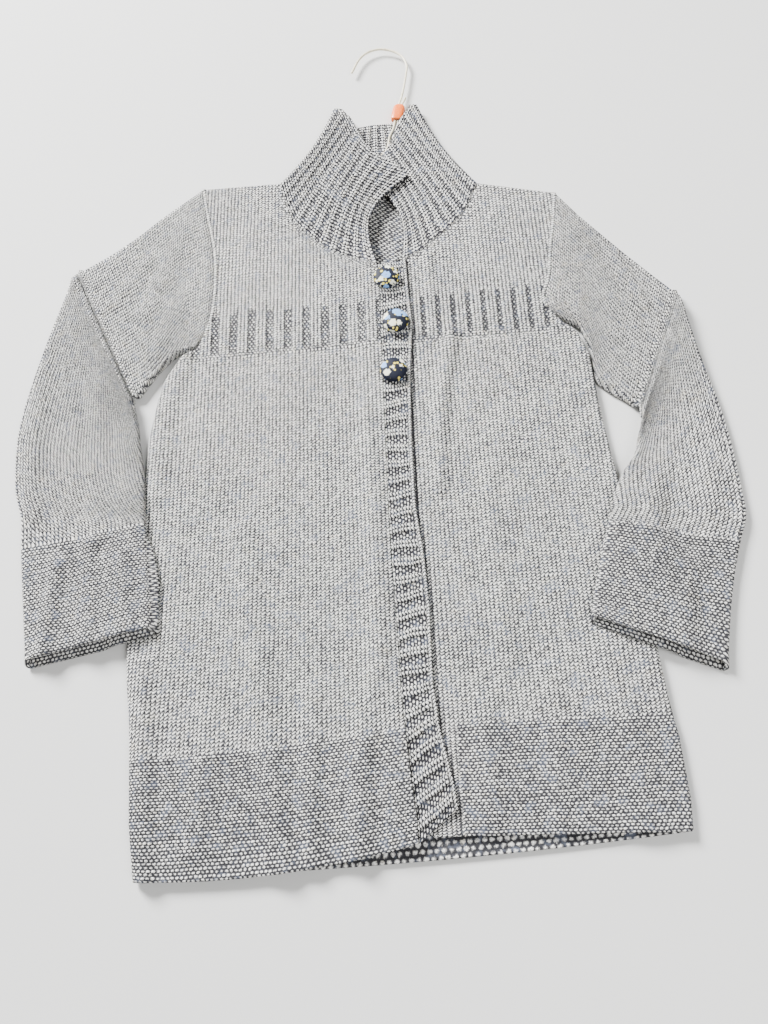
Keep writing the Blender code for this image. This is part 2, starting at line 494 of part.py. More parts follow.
def make_left_front(material):
    """Left front: it lies beneath the band, with deeper yoke ribs and soft folds."""
    ends = []
    raises = []
    for side_y, edge_y, sag, thick, ribbed in LEFT_FRONT_COURSES:
        chain = SIDE_RIGHT_X if side_y <= ARMHOLE_RIGHT_X[0][1] else ARMHOLE_RIGHT_X
        ends.append(((LEFT_FRONT_EDGE_X, edge_y), (chain_x(chain, side_y), side_y)))
        raises.append((sag, thick, ribbed))
    for side_y, neck in zip(LEFT_FRONT_NECK_SIDE_Y, NECK_LEFT_FRONT[1:]):
        ends.append((neck, (chain_x(ARMHOLE_RIGHT_X, side_y), side_y)))
    ends = shoulder_rows(ends)
    raises += [(0.0, 0.0, 0)] * (len(ends) - len(raises))
    courses = []
    for (left, right), (sag, thick, ribbed) in zip(ends, raises):
        soft_x = (24.0, 30.0, 36.0, 43.0, 50.0, 56.0, 62.0, 68.0, 76.0, 95.0, 125.0)
        fine_x = rib_columns(YOKE_LEFT_FRONT) if ribbed else soft_x
        fine_x = [x for x in fine_x if left[0] + 1.0 < x < right[0] - 6.0]
        from_right = ROLL_STEPS if right[1] <= -152.0 else (0.0, 4.5)
        plain_x = [x for x in (60.0, 100.0, 135.0) if left[0] + 6.0 < x < right[0] - 12.0]
        fine = shares_for(left, right, (0.0,), from_right, fine_x)
        plain = shares_for(left, right, (0.0,), from_right, plain_x)
        courses.append((left, right, sag, fine, plain, (thick, ribbed)))
    folds = (SIDE_RIGHT_X, ((95.5, 2.0), (163.0, -18.0)))
    outer, inner = panel_faces(courses, folds, (90.0, -300.0), left_front_top,
                               left_front_raise, ((0, NECK_LEFT_FRONT), (-1, ARMHOLE_RIGHT_X)))
    return make_wall("left_front", material, outer, inner)


def make_back(material):
    """Back: flat on the surface, curling up at its sides and shoulders to meet the fronts."""
    left_chain = SIDE_LEFT_X[:-1] + ARMHOLE_LEFT_X
    right_chain = SIDE_RIGHT_X[:-1] + ARMHOLE_RIGHT_X
    ends = [((chain_x(left_chain, left_y), left_y), (chain_x(right_chain, right_y), right_y))
            for left_y, right_y, _, _ in BACK_COURSES]
    shapes = [(sag, neck) for _, _, sag, neck in BACK_COURSES]
    ends = shoulder_rows(ends)
    near_top = [shapes[-2][1] + (1.0 - shapes[-2][1]) * share for share in (0.7, 0.85, 0.95)]
    shapes = shapes[:-1] + [(0.0, share) for share in near_top] + shapes[-1:]
    top = np.asarray(BACK_TOP)
    folds = (SIDE_LEFT_X, SIDE_RIGHT_X, BACK_TOP[:2], BACK_TOP[-2:])
    spans = (top[1:-1, 0] - top[0, 0]) / (top[-1, 0] - top[0, 0])
    outer = []
    inner = []
    for number, ((left, right), (sag, neck)) in enumerate(zip(ends, shapes)):
        length = np.linalg.norm(np.subtract(right, left))
        steps = np.array(ROLL_STEPS if left[1] <= -152.0 else (0.0, 4.5)) / length
        shares = np.unique(np.concatenate((steps, spans, 1.0 - steps)))
        points = lay_row(left, right, shares, sag)
        straight = np.interp(shares, (0.0, 1.0), (top[0, 1], top[-1, 1]))
        shaped = np.interp(shares, (top[:, 0] - top[0, 0]) / (top[-1, 0] - top[0, 0]), top[:, 1])
        points[:, 1] += neck * (shaped - straight)
        distance, _ = edge_distance(points, folds, (0.0, -300.0))
        middle = body_height(points[:, 1]) / 2.0
        height = (middle - SEAM / 2.0) * (1.0 - round_off(distance, middle))
        outer.append((number, np.column_stack((points, height, shares))))
        guides = [(0, left_chain), (-1, right_chain)]
        if number == len(ends) - 1:
            corners = np.searchsorted(shares, spans[[0, -1]] - 1e-6)
            guides += [(corners[0], BACK_TOP[1:3]), (corners[1], BACK_TOP[-3:-1])]
        points, distance = step_inside(points, folds, (0.0, -300.0), guides)
        rim = body_height(points[:, 1]) / 2.0 - SEAM / 2.0
        height = rim - (rim - WALL) * round_off(distance, INNER_ROUND)
        inner.append((number, np.column_stack((points, height, shares))))
    return make_wall("back", material, outer, inner)


def make_top_band(material):
    """Buttoned band: short ribs run across it, and it lies on the band beneath."""
    rows = np.asarray(BAND_ROWS)
    phases = (0.0, 0.14, 0.52, 0.66)
    shares = np.array([(rib + phase) / BAND_RIBS for rib in range(BAND_RIBS) for phase in phases]
                      + [1.0])
    raised = np.array([0.0, 1.0, 1.0, 0.0] * BAND_RIBS + [0.0])
    left, right = np.split(along(rows, shares), 2, axis=1)
    outer = []
    inner = []
    for k, share in enumerate(shares):
        width = np.linalg.norm(right[k] - left[k])
        across = np.array((0.0, 2.5 / width, 1.0 - 3.0 / width, 1.0))
        points = left[k] + (right[k] - left[k]) * across[:, None]
        under = body_height(points[:, 1]) + LAY
        rib = BAND_RAISE * raised[k] * np.array((0.6, 1.0, 1.0, 0.3))
        outer.append((share, np.column_stack((points, under + WALL + rib, across))))
        if k % 4 == 0:
            inner.append((share, np.column_stack((points, under, across))[[0, 3]]))
    return make_wall("right_band", material, outer, inner)


def make_under_band(material):
    """Band of the left front, plain because it lies hidden under the buttoned band."""
    outer = []
    inner = []
    for y in np.linspace(*UNDER_BAND_END_Y, 24):
        left_x = float(band_seam_x(y)) - UNDER_BAND_WIDTH_BEYOND_SEAM
        x = np.array((left_x, LEFT_FRONT_EDGE_X - SEAM))
        top = float(body_height(y))
        outer.append((y, np.column_stack((x, np.full(2, y), np.full(2, top), (0.0, 1.0)))))
        inner.append((y, np.column_stack((x, np.full(2, y), np.full(2, top - WALL), (0.0, 1.0)))))
    return make_wall("left_band", material, outer, inner)


def collar_points(stretch, share):
    """Plan points of a stretch's columns at one share of the height, with the ribs' bow."""
    place = stretch["ribs"] / stretch["count"]
    low = along(stretch["base"], place)
    high = along(stretch["top"], place)
    run = high - low
    left_of_run = np.column_stack((-run[:, 1], run[:, 0]))
    left_of_run /= np.linalg.norm(run, axis=1)[:, None]
    bow = np.interp(stretch["ribs"], *np.transpose(stretch["bow"]))
    return low + run * share + left_of_run * (bow * np.sin(pi * share))[:, None]


def collar_columns(count, steps, fold_at_start, fold_at_end):
    """Rib numbers of a stretch's columns, with closer ones beside a fold."""
    columns = {float(rib + step) for rib in range(count) for step in steps} | {float(count)}
    near = (0.08, 0.2, 0.4)
    if fold_at_start:
        columns = {c for c in columns if c == 0.0 or c > 0.5} | set(near)
    if fold_at_end:
        columns = {c for c in columns if c == count or c < count - 0.5}
        columns |= {count - step for step in near}
    return np.array(sorted(columns))


def rib_wave(ribs):
    """Raised ribs along the collar: two knit columns stand up, two purl columns lie low."""
    phase = ribs % 1.0
    return np.interp(phase, (0.0, 0.14, 0.52, 0.66, 1.0), (0.0, 1.0, 1.0, 0.0, 0.0))


def slide_from_fold(points, folds):
    """Inner points of a collar row, moved along the row so that a wall fits inside each fold."""
    distance, _ = edge_distance(points, folds, NECK_MIDDLE)
    step_back = WALL * np.clip(1.0 - distance / (3.0 * WALL), 0.0, 1.0)
    reach = np.concatenate(([0.0], np.cumsum(np.linalg.norm(np.diff(points, axis=0), axis=1))))
    start_distance, _ = edge_distance(points[:1], folds, NECK_MIDDLE)
    from_start = (reach < reach[-1] / 2.0) & (start_distance[0] < 0.1)
    moved = reach + np.where(from_start, 1.15, -1.15) * step_back
    points = np.stack([np.interp(moved, reach, points[:, axis]) for axis in (0, 1)], -1)
    return points, distance + step_back - WALL


def collar_face(stretches, folds, is_outer):
    """Rows of one face of the collar, from its seam to its free edge."""
    rows = []
    middle = FULL_HEIGHT / 2.0
    for share in COLLAR_HEIGHT_ROWS:
        parts = []
        for number, stretch in enumerate(stretches):
            points = collar_points(stretch, share)
            distance, _ = edge_distance(points, folds, NECK_MIDDLE)
            rib = COLLAR_RAISE * rib_wave(stretch["ribs"]) * smooth(distance, 1.5, 8.0)
            radius = middle
            if not is_outer:
                points, distance = slide_from_fold(points, folds)
                radius = middle - WALL
            level = stretch["level"](stretch["ribs"], share, points)
            if not is_outer:
                level = level - np.sign(level - middle) * WALL
            height = middle + (level - middle) * round_off(distance, radius)
            if is_outer == (number != 1):
                height += rib
            keys = number + stretch["ribs"] / stretch["count"]
            parts.append(np.column_stack((points, height, keys)))
        rows.append((share, np.concatenate((parts[0][:-1], parts[1], parts[2][1:]))))
    return rows


def make_collar(material):
    """Ribbed collar: one wall from the left front's end, round the back, to the right front's."""
    def widened(chain):
        chain = np.asarray(chain, float)
        inwards = np.asarray(NECK_MIDDLE) - chain
        return chain + inwards / np.linalg.norm(inwards, axis=1)[:, None] * COLLAR_GAP

    def left_level(ribs, share, points):
        return np.full(len(ribs), FULL_HEIGHT)

    def right_level(ribs, share, points):
        overlap = smooth(ribs, 3.2, 6.0) * smooth(share, 0.08, 0.45)
        over_collar = overlap * (COLLAR_RAISE + WALL + LAY)
        over_band = (WALL + LAY) * smooth(points[:, 0], -26.0, -10.0)
        return FULL_HEIGHT + np.maximum(over_collar, over_band)

    def back_level(ribs, share, points):
        return np.zeros(len(ribs))

    back_base = np.asarray(BACK_TOP[1:-1], float)[::-1] + np.array((0.0, COLLAR_GAP))
    left_base = widened(((20.5, -80.8),) + NECK_LEFT_FRONT[1:])
    right_base = widened(((-93.0, 26.0),) + NECK_RIGHT_FRONT[-2:0:-1] + ((-2.0, -83.6),))
    back_base[0] = left_base[-1]
    back_base[-1] = right_base[0]
    tables = (
        (left_base, COLLAR_TOP_LEFT_FRONT, COLLAR_BOW_LEFT_FRONT, 10, left_level, False, True),
        (back_base, COLLAR_TOP_BACK, COLLAR_BOW_BACK, 15, back_level, True, True),
        (right_base, COLLAR_TOP_RIGHT_FRONT, COLLAR_BOW_RIGHT_FRONT, 12, right_level, True, False))
    faces = []
    for is_outer in (True, False):
        stretches = []
        for number, (base, top, bow, count, level, at_start, at_end) in enumerate(tables):
            steps = (0.0, 0.14, 0.52, 0.66) if is_outer == (number != 1) else (0.0,)
            stretches.append({"base": base, "top": top, "bow": bow, "count": count, "level": level,
                              "ribs": collar_columns(count, steps, at_start, at_end)})
        edges = [collar_points(stretches[1], share) for share in COLLAR_HEIGHT_ROWS]
        folds = [[row[end] for row in edges] for end in (0, -1)]
        faces.append(collar_face(stretches, folds, is_outer))
    return make_wall("collar", material, faces[0], faces[1])


def sleeve_ring(outer, inner, rise, chain, lift, thickness):
    """One closed ring of a flattened sleeve; a thickness of 0 gives its outer face."""
    line = np.array((outer, inner)) if chain is None else np.asarray(chain)
    steps = np.linalg.norm(np.diff(line, axis=0), axis=1)
    width = steps.sum()
    corners = np.cumsum(steps)[:-1]

    def lay(distance, level):
        points = along(line, np.clip(distance / width, 0.0, 1.0))
        under, over = lift(points)
        rises = rise[0] + (rise[1] - rise[0]) * distance / width
        top = body_height(points[:, 1]) + over + rises
        return np.column_stack((points, under + (top - under) * level))

    def spread(shares):
        distance = bulge[0] + (width - bulge[0] - bulge[1]) * np.asarray(shares)
        for corner in corners:
            distance[np.argmin(np.abs(distance - corner))] = corner
        return distance

    rims = [lay(np.array((0.0, width)), level)[:, 2] for level in (0.0, 1.0)]
    radius = (rims[1] - rims[0]) / 2.0
    bulge = np.minimum(radius, FULL_HEIGHT / 2.0)
    angles = np.radians(RING_EDGE_ANGLES)
    rows = []
    for end, angle_run in ((0, angles), (1, angles[::-1])):
        from_edge = bulge[end] - max(bulge[end] - thickness, 0.3) * np.cos(angle_run)
        tall = max(radius[end] - thickness, 0.2)
        distance = from_edge if end == 0 else width - from_edge
        level = 0.5 + 0.5 * tall / radius[end] * np.sin(angle_run)
        rows.append(lay(distance, level))
    upper = lay(spread(RING_TOP_SHARES), 1.0)
    upper[:, 2] -= thickness
    under = lay(spread(RING_UNDER_SHARES), 0.0)
    under[:, 2] += thickness
    return np.concatenate((rows[0], upper, rows[1], under))


def make_sleeve(name, material, armhole, rings, skips, toward_body, side, lift_y):
    """A flattened sleeve: rings fan round the elbow, where the forearm lies on the upper arm."""
    def lift(points):
        outside = (points[:, 0] - chain_x(side, points[:, 1])) * -toward_body
        weight = 1.0 - smooth(points[:, 1], *lift_y)
        rest = (body_height(points[:, 1]) + LIFT_CLEAR) * weight
        return rest * (1.0 - smooth(outside, 7.0, 20.0)), rest * (1.0 - smooth(outside, 9.0, 42.0))

    seam = np.asarray(armhole[::-1], float) + np.array((-toward_body * SLEEVE_GAP, 0.2))
    outer_rows = [sleeve_ring(None, None, (0.0, 0.0), seam, lift, 0.0)]
    inner_rows = [sleeve_ring(None, None, (0.0, 0.0), seam, lift, WALL)]
    previous = (0.0, 0.0)
    for number, (x_out, y_out, x_in, y_in, rise_out, rise_in) in enumerate(rings, start=1):
        ends = ((x_out, y_out), (x_in, y_in))
        inner_rise = (min(rise_out, previous[0]), min(rise_in, previous[1]))
        outer_rows.append(sleeve_ring(*ends, (rise_out, rise_in), None, lift, 0.0))
        if number not in skips:
            inner_rows.append(sleeve_ring(*ends, inner_rise, None, lift, WALL))
        previous = (rise_out, rise_in)
    return make_tube(name, material, outer_rows, inner_rows)


def make_button(name, material, place):
    """A cloth-covered button: a turned dome that sits on the band."""
    x, y = place
    base = float(body_height(y)) + LAY + WALL + BAND_RAISE + BUTTON_SEAT
    turn = np.arange(BUTTON_SIDES) * 2.0 * pi / BUTTON_SIDES
    points = [(x, y, base)]
    for radius, height in BUTTON_PROFILE:
        points += [(x + radius * cos(a), y + radius * sin(a), base + height) for a in turn]
    points.append((x, y, base + BUTTON_PROFILE[-1][1] + 0.2))
    crown = len(points) - 1
    faces = []
    for k in range(BUTTON_SIDES):
        beside = (k + 1) % BUTTON_SIDES
        faces.append((0, 1 + beside, 1 + k))
        for ring in range(len(BUTTON_PROFILE) - 1):
            low = 1 + ring * BUTTON_SIDES
            high = low + BUTTON_SIDES
            faces.append((low + k, low + beside, high + beside, high + k))
        top = 1 + (len(BUTTON_PROFILE) - 1) * BUTTON_SIDES
        faces.append((top + k, top + beside, crown))
    return make_object(name, material, np.array(points), faces)


def smooth_route(route, step):
    """Points a given step apart on the smooth curve through a route's own points."""
    route = np.asarray(route, float)
    padded = np.vstack((2 * route[0] - route[1], route, 2 * route[-1] - route[-2]))
    points = []
    for k in range(len(route) - 1):
        p0, p1, p2, p3 = padded[k:k + 4]
        t = np.linspace(0.0, 1.0, 12, endpoint=False)[:, None]
        points.append(0.5 * (2 * p1 + (p2 - p0) * t + (2 * p0 - 5 * p1 + 4 * p2 - p3) * t ** 2
                             + (3 * p1 - p0 - 3 * p2 + p3) * t ** 3))
    fine = np.vstack(points + [route[-1:]])
    length = np.linalg.norm(np.diff(fine, axis=0), axis=1).sum()
    return along(fine, np.linspace(0.0, 1.0, int(length / step) + 1))


def make_wire(name, material, route):
    """A strand of the hanger's wire: a round tube along a smooth route."""
    curve = bpy.data.curves.new(name, "CURVE")
    curve.dimensions = "3D"
    curve.bevel_depth = WIRE / 2.0 * MM
    curve.bevel_resolution = 2
    curve.use_fill_caps = True
    curve.materials.append(material)
    points = smooth_route(route, WIRE_STEP)
    spline = curve.splines.new("POLY")
    spline.points.add(len(points) - 1)
    for target, (x, y) in zip(spline.points, points):
        target.co = ((x + PLAN_SHIFT[0]) * MM, (y + PLAN_SHIFT[1]) * MM, WIRE_Z * MM, 1.0)
    strand = bpy.data.objects.new(name, curve)
    bpy.context.collection.objects.link(strand)
    return strand


def make_clip(material):
    """Moulded size clip round both strands: a rounded block with a slot along its length."""
    foot = np.asarray(CLIP_FOOT)
    run = np.asarray(CLIP_HEAD) - foot
    across = np.array((run[1], -run[0])) / np.linalg.norm(run)
    turn = (np.arange(CLIP_SIDES) + 0.5) * 2.0 * pi / CLIP_SIDES
    outer = []
    inner = []
    for share, full in CLIP_SECTIONS:
        middle = foot + run * share
        for rows, width, depth, power in (
                (outer, CLIP_HALF_WIDTH * full, CLIP_HALF_DEPTH * full, 0.7),
                (inner, CLIP_BORE_HALF_WIDTH, CLIP_BORE_HALF_DEPTH, 0.5)):
            x = width * np.sign(np.cos(turn)) * np.abs(np.cos(turn)) ** power
            z = depth * np.sign(np.sin(turn)) * np.abs(np.sin(turn)) ** power
            rows.append(np.column_stack((middle + across * x[:, None], WIRE_Z + z)))
    return make_tube("hanger_clip", material, outer, inner)


def main():
    for old in list(bpy.data.objects):
        bpy.data.objects.remove(old, do_unlink=True)
    wool = finish("grey_wool", (0.47, 0.47, 0.50), 0.95)
    rib_wool = finish("grey_rib_wool", (0.45, 0.45, 0.48), 0.95)
    print_cloth = finish("flowered_cloth", (0.05, 0.07, 0.18), 0.8)
    coated_wire = finish("ivory_coated_wire", (0.86, 0.83, 0.68), 0.4)
    clip_plastic = finish("orange_plastic", (0.95, 0.30, 0.06), 0.35)
    make_back(wool)
    make_left_front(wool)
    make_right_front(wool)
    make_under_band(rib_wool)
    make_top_band(rib_wool)
    make_collar(rib_wool)
    make_sleeve("right_sleeve", wool, ARMHOLE_LEFT_X, RIGHT_SLEEVE_RINGS, RIGHT_INNER_SKIPS,
                1.0, SIDE_LEFT_X, (-250.0, -218.0))
    make_sleeve("left_sleeve", wool, ARMHOLE_RIGHT_X, LEFT_SLEEVE_RINGS, LEFT_INNER_SKIPS,
                -1.0, SIDE_RIGHT_X, (-292.0, -268.0))
    for number, place in enumerate(BUTTON_PLACES, start=1):
        make_button(f"button_{number}", print_cloth, place)
    make_wire("hanger_hook_wire", coated_wire, HOOK_ROUTE)
    make_wire("hanger_arm_wire", coated_wire, ARM_ROUTE)
    make_clip(clip_plastic)


main()
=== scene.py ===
"""Looks of a wool cardigan laid flat, with a thin wire hanger lying in its neck.

Plan positions in the tables are millimetres from the middle of the shoulders, as in the part's
source. make_mesh moves them by PLAN_SHIFT and turns them to metres. "Left" and "right" are the
wearer's, so the right front is on the -X side. Every cloth piece is a closed wall: a fine grid
for the face that shows, whose columns follow the knitted columns, and a plainer grid behind it.
"""
from math import pi
import bmesh
import bpy
import numpy as np
from mathutils import Matrix, Vector


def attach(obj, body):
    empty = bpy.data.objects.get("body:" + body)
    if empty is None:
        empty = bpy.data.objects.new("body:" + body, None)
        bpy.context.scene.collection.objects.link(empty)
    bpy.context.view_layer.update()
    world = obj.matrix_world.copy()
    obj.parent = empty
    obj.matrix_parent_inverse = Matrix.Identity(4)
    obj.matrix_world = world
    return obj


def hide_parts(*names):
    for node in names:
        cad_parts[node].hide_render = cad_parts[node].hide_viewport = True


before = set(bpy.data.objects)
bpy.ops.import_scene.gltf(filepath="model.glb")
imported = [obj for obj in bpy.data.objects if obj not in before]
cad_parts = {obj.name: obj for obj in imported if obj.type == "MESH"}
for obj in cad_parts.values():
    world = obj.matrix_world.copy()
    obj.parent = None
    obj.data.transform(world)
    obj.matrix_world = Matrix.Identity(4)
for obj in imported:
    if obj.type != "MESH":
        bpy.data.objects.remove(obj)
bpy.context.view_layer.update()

# Sizes of the cloth, in millimetres
MM = 0.001
PLAN_SHIFT = (25.35, 192.3, 0.0)
WALL = 2.4
SEAM = 0.3                    # gap between two pieces at a seam
LAY = 0.4                     # gap between two layers that lie on each other
FULL_HEIGHT = 9.0             # height of the body's two layers above FULL_FROM_Y
LOW_HEIGHT = 6.0              # and below LOW_FROM_Y
FULL_FROM_Y = -110.0
LOW_FROM_Y = -260.0
SIDE_TOP_Y = -150.0           # below it the body folds at its sides, above it at its shoulders
INNER_ROUND = 1.2             # radius of the inner face at a fold
INNER_SLIDE = 1.15            # how far it slides inwards there, as a share of its step back
PLAIN_PITCH = 9.0             # between the columns of a plain face

# The knit, in millimetres or shares
COLUMN = 3.3                  # one column of the plain knit
STITCH_HEIGHT = 2.5           # one course of the plain knit
COLLAR_STITCH_HEIGHT = 3.3    # one course of the collar's stretched ribs
PURL_COLUMN = 5.0             # one column of the back's purl side
RIDGE = 4.1                   # one ridge of the garter stitch
COLUMN_DEPTH = 0.55           # valley between two knitted columns
RIDGE_DEPTH = 0.8             # valley between two garter ridges
RIDGE_WANDER = 0.11           # how far a garter ridge strays, as a share of RIDGE
RIDGE_SHADE = 0.45            # painted shade: how dark the valleys between garter ridges are
SHOULDER_STEPS = (4.5, 3.2, 2.2, 1.4, 0.8, 0.3, 0.0)    # last courses before a shoulder's edge
# A rib's phase runs from 0 to 1, over two knitted columns and a purl groove of two more
RIB_COLUMNS = 4.0
RIB_START = 0.07              # where its first column begins
RIB_MIDDLE = 0.32             # the valley between its two columns
RIB_HALF = (0.26, 0.34)       # how far from it the purl groove begins, and is full
COLLAR_RIB_SPREAD = 3.2       # RIB_COLUMNS where the collar's stretched ribs widen their two

# Outline of the body, as the solids have it
SIDE_LEFT_X = (
    (-190, -578), (-193, -560), (-196, -540), (-199, -500), (-201, -475), (-206, -440), (-208, -415),
    (-207, -380), (-205, -320), (-204.5, -290), (-203.5, -240), (-200.5, -220), (-197.5, -200),
    (-192, -180), (-180, -160), (-165, -152))
ARMHOLE_LEFT_X = (
    (-165, -152), (-157, -140), (-152, -120), (-150, -90), (-152, -50), (-160, -10), (-167, 28))
SIDE_RIGHT_X = (
    (190, -560), (192, -540), (191.5, -500), (189, -480), (187, -440), (186, -400), (183, -350),
    (178.5, -300), (175, -260), (173, -220), (172, -190), (165, -167), (150, -152))
ARMHOLE_RIGHT_X = (
    (150, -152), (141, -141), (140, -130), (147, -110), (152, -80), (158, -50), (163, -18))
NECK_RIGHT_FRONT = (
    (-1.2, -84), (-20, -75), (-35, -67), (-52, -55), (-65, -40), (-78, -25), (-85, -5), (-93, 26))
NECK_LEFT_FRONT = (
    (18.3, -82), (40, -70), (47, -63), (62, -52), (75, -38), (84, -26), (87, -17), (95.5, 2))
BACK_TOP = (
    (-167, 28), (-93, 26), (-90.3, 21.9), (-85, 14), (-65, 5), (-30, 0), (1, -1), (30, -2), (62, -3),
    (84, -2), (91, 0.4), (95.5, 2), (163, -18))

# Courses of the fronts: y at the side, y at the buttoned edge, sag of the row's middle
RIGHT_FRONT_COURSES = (
    (-578, -561, -7), (-560, -545, -4), (-538, -525, -3), (-498, -485, -3), (-470, -460, 0),
    (-430, -430, 0), (-105, -103, 0), (-90, -84, 0))
RIGHT_FRONT_NECK_SIDE_Y = (-70, -50, -30, -10, 2, 14, 28)
LEFT_FRONT_COURSES = ((-560, -557, 0), (-540, -540, 0), (-110, -108, 0), (-88, -82, 0))
LEFT_FRONT_NECK_SIDE_Y = (-80, -70, -60, -50, -42, -34, -18)
LEFT_FRONT_EDGE_X = 18.3
LEFT_GARTER_FROM_X = (37, 42)           # the left front's garter hem begins beside the band
RIGHT_FRONT_LEVELS = (-569.5, -491.5, 27)       # middle y of the hem, garter's top and shoulder
LEFT_FRONT_LEVELS = (-558.5, -484.5, -8)
YOKE_Y = (-163, -121)
# Yoke ribs: first groove, knitted column, columns to a rib, half width of a groove
YOKE_RIGHT_FRONT = (-148, 3.266, 5, 2.3)
YOKE_LEFT_FRONT = (36, 3.275, 4, 1.3)

# Courses of the back: y at the left side, y at the right side, sag, share of the neck's shape
BACK_COURSES = (
    (-576, -560, -4.6, 0), (-540, -540, 0, 0), (-440, -440, 0, 0), (-260, -260, 0, 0),
    (-120, -110, 0, 0), (-90, -80, 0, 0), (-50, -50, 0, 0.1), (-10, -40, 0, 0.35), (12, -30, 0, 0.7),
    (28, -18, 0, 1))

# Band: left x, left y, right x, right y
BAND_ROWS = (
    (-0.9, -83.5, 24, -80.5), (0.1, -120, 25, -119), (-0.9, -150, 26.5, -148), (-1.2, -200, 22, -199),
    (-1.7, -260, 20, -259), (-1.7, -320, 20, -318), (-0.8, -360, 24, -357), (0.4, -400, 26, -397),
    (1.4, -460, 25, -455), (4.4, -500, 28, -488), (6.4, -525, 32, -508), (8.4, -545, 35, -524),
    (8.4, -561, 36.5, -539))
BAND_RIBS = 34
BAND_RAISE = 0.7              # how much the solid's ribs stand up
UNDER_BAND_WIDTH_BEYOND_SEAM = 5.0
UNDER_BAND_END_Y = (-556.5, -86)

# Collar: free edge of its three stretches, each with its ribs and its sideways bow by rib
COLLAR_TOP_LEFT_FRONT = ((-10, 20), (12, 52), (17, 64), (23, 84), (31.5, 96), (38, 106), (45, 107))
COLLAR_TOP_BACK = ((45, 107), (36, 96), (28.5, 91), (0, 92), (-18, 90), (-27, 97), (-40, 113))
COLLAR_TOP_RIGHT_FRONT = (
    (-40, 113), (-30, 110), (-22, 98), (-18, 88), (-13, 72), (-8, 58), (0, 47), (12, 37), (22, 28),
    (31, 14))
COLLAR_BOW_LEFT_FRONT = ((0, -15.5), (2, -7), (4.4, -2), (7, 0), (10, 5))
COLLAR_BOW_BACK = ((0, 5), (7.5, 0), (15, -5))
COLLAR_BOW_RIGHT_FRONT = ((0, -5), (3, 0), (6, 2), (8.5, 6), (10.3, 14), (12, 21.5))
COLLAR_START = (20.5, -80.8)  # ends of its seam, on the left and on the right front
COLLAR_END = (-2, -83.6)
COLLAR_RAISE = 0.9            # how much the solid's ribs stand up
COLLAR_RIB = 1.7              # depth of the ribs that show
COLLAR_GAP = 0.45             # at the neck's seam
NECK_MIDDLE = (0, 20)

# Sleeves, one row per ring from the armhole to the cuff: outer x and y, inner x and y,
# rise of the upper cloth at the outer and at the inner edge
RIGHT_SLEEVE_RINGS = (
    (-186, 13.5, -172, -154, 0, 0), (-205, -1, -181, -155.5, 0, 0), (-228, -22, -192, -165, 0, 0),
    (-254, -41, -203, -179, 0, 0), (-272, -51.5, -211, -191, 0, 0), (-282.5, -57.5, -216.5, -200, 0, 0),
    (-284.6, -59.2, -218.4, -202.2, 3.2, 5.4), (-287.5, -62.5, -218, -206.5, 3.2, 5.4),
    (-291, -82, -215, -217, 2.4, 4.4), (-298, -106, -211.5, -229, 1.4, 3.2),
    (-305, -132, -208.5, -241, 0.4, 1.6), (-312, -163, -205.5, -254, 0, 0.6),
    (-318, -196, -203, -268, 0, 0), (-321, -225, -201.5, -282, 0, 0), (-319.5, -252, -200, -295, 0, 0),
    (-316, -279, -199, -304, 0, 0), (-307, -301, -198.2, -311, 0, 0),
    (-303.5, -331, -197.6, -317, 0, 0), (-303, -333.5, -197.5, -319.5, 0.5, 0.5),
    (-298.5, -360, -193.5, -345, 0.5, 0.5), (-293.5, -388, -190, -372, 0.8, 0.5),
    (-289, -411, -187.4, -391, 2.2, 0.6), (-286.5, -421, -187, -402, 3.4, 0.8))
LEFT_SLEEVE_RINGS = (
    (181, -46, 167.6, -164.5, 0, 0), (198, -69.5, 173.8, -188, 0, 0), (216, -94, 174.4, -213, 0, 0),
    (234, -117, 187, -226, 0, 0), (246, -131.5, 197, -238, 0, 0), (251.6, -138.5, 202.6, -246, 0, 0),
    (253.2, -141, 204.4, -248.6, 3.2, 4.9), (254.2, -146, 205, -253, 3.2, 4.9),
    (256.5, -168, 202.5, -261.5, 2.4, 4), (259.5, -193, 199, -270, 1.4, 3),
    (263, -218, 196.5, -279, 0.4, 1.8), (267, -243, 192.5, -288.5, 0.2, 0.8),
    (269.3, -268, 185, -297, 0, 0.2), (270.3, -293, 178.8, -306, 0, 0),
    (269.8, -318, 172.5, -319, 0, 0), (269.5, -344, 168.4, -331.5, 0, 0), (262, -358, 166, -339, 0, 0),
    (259.8, -363.5, 164.8, -342, 0.5, 0.5), (252, -384, 157.5, -363, 0.5, 0.5),
    (244.5, -408, 150.5, -384, 0.5, 0.5), (238, -433, 144.8, -402, 1, 0.6),
    (233, -452, 142, -413, 2.4, 0.9))
# How far the underside reaches beyond the upper face, at the outer and the inner edge: y, reach
NO_LEDGE = ((0, 1), (0, 0))
RIGHT_SLEEVE_LEDGES = (NO_LEDGE, ((-402, -370, -345, -325), (4, 8, 6, 0)))
LEFT_SLEEVE_LEDGES = (NO_LEDGE, ((-240, -225, -205, -185), (0, 4, 4, 0)))
SLEEVE_GAP = 0.4              # at the armhole's seam
LIFT_CLEAR = 0.6              # gap where a sleeve lies over the body
FOLD_RING = 6                 # ring where the forearm folds back over the upper arm
GARTER_RING = 17              # ring where the cuff's garter stitch begins
# The fold at the elbow, seen from the side: place beyond the fold line, share of its rise
ELBOW_FOLD = (
    (-6, 0), (-3, 0), (-0.5, -0.02), (1.6, -0.02), (2.6, 0.03), (1.6, 0.1), (0.5, 0.22), (-0.1, 0.45),
    (0.1, 0.68), (0.9, 0.86), (2.2, 0.97), (3.6, 1))

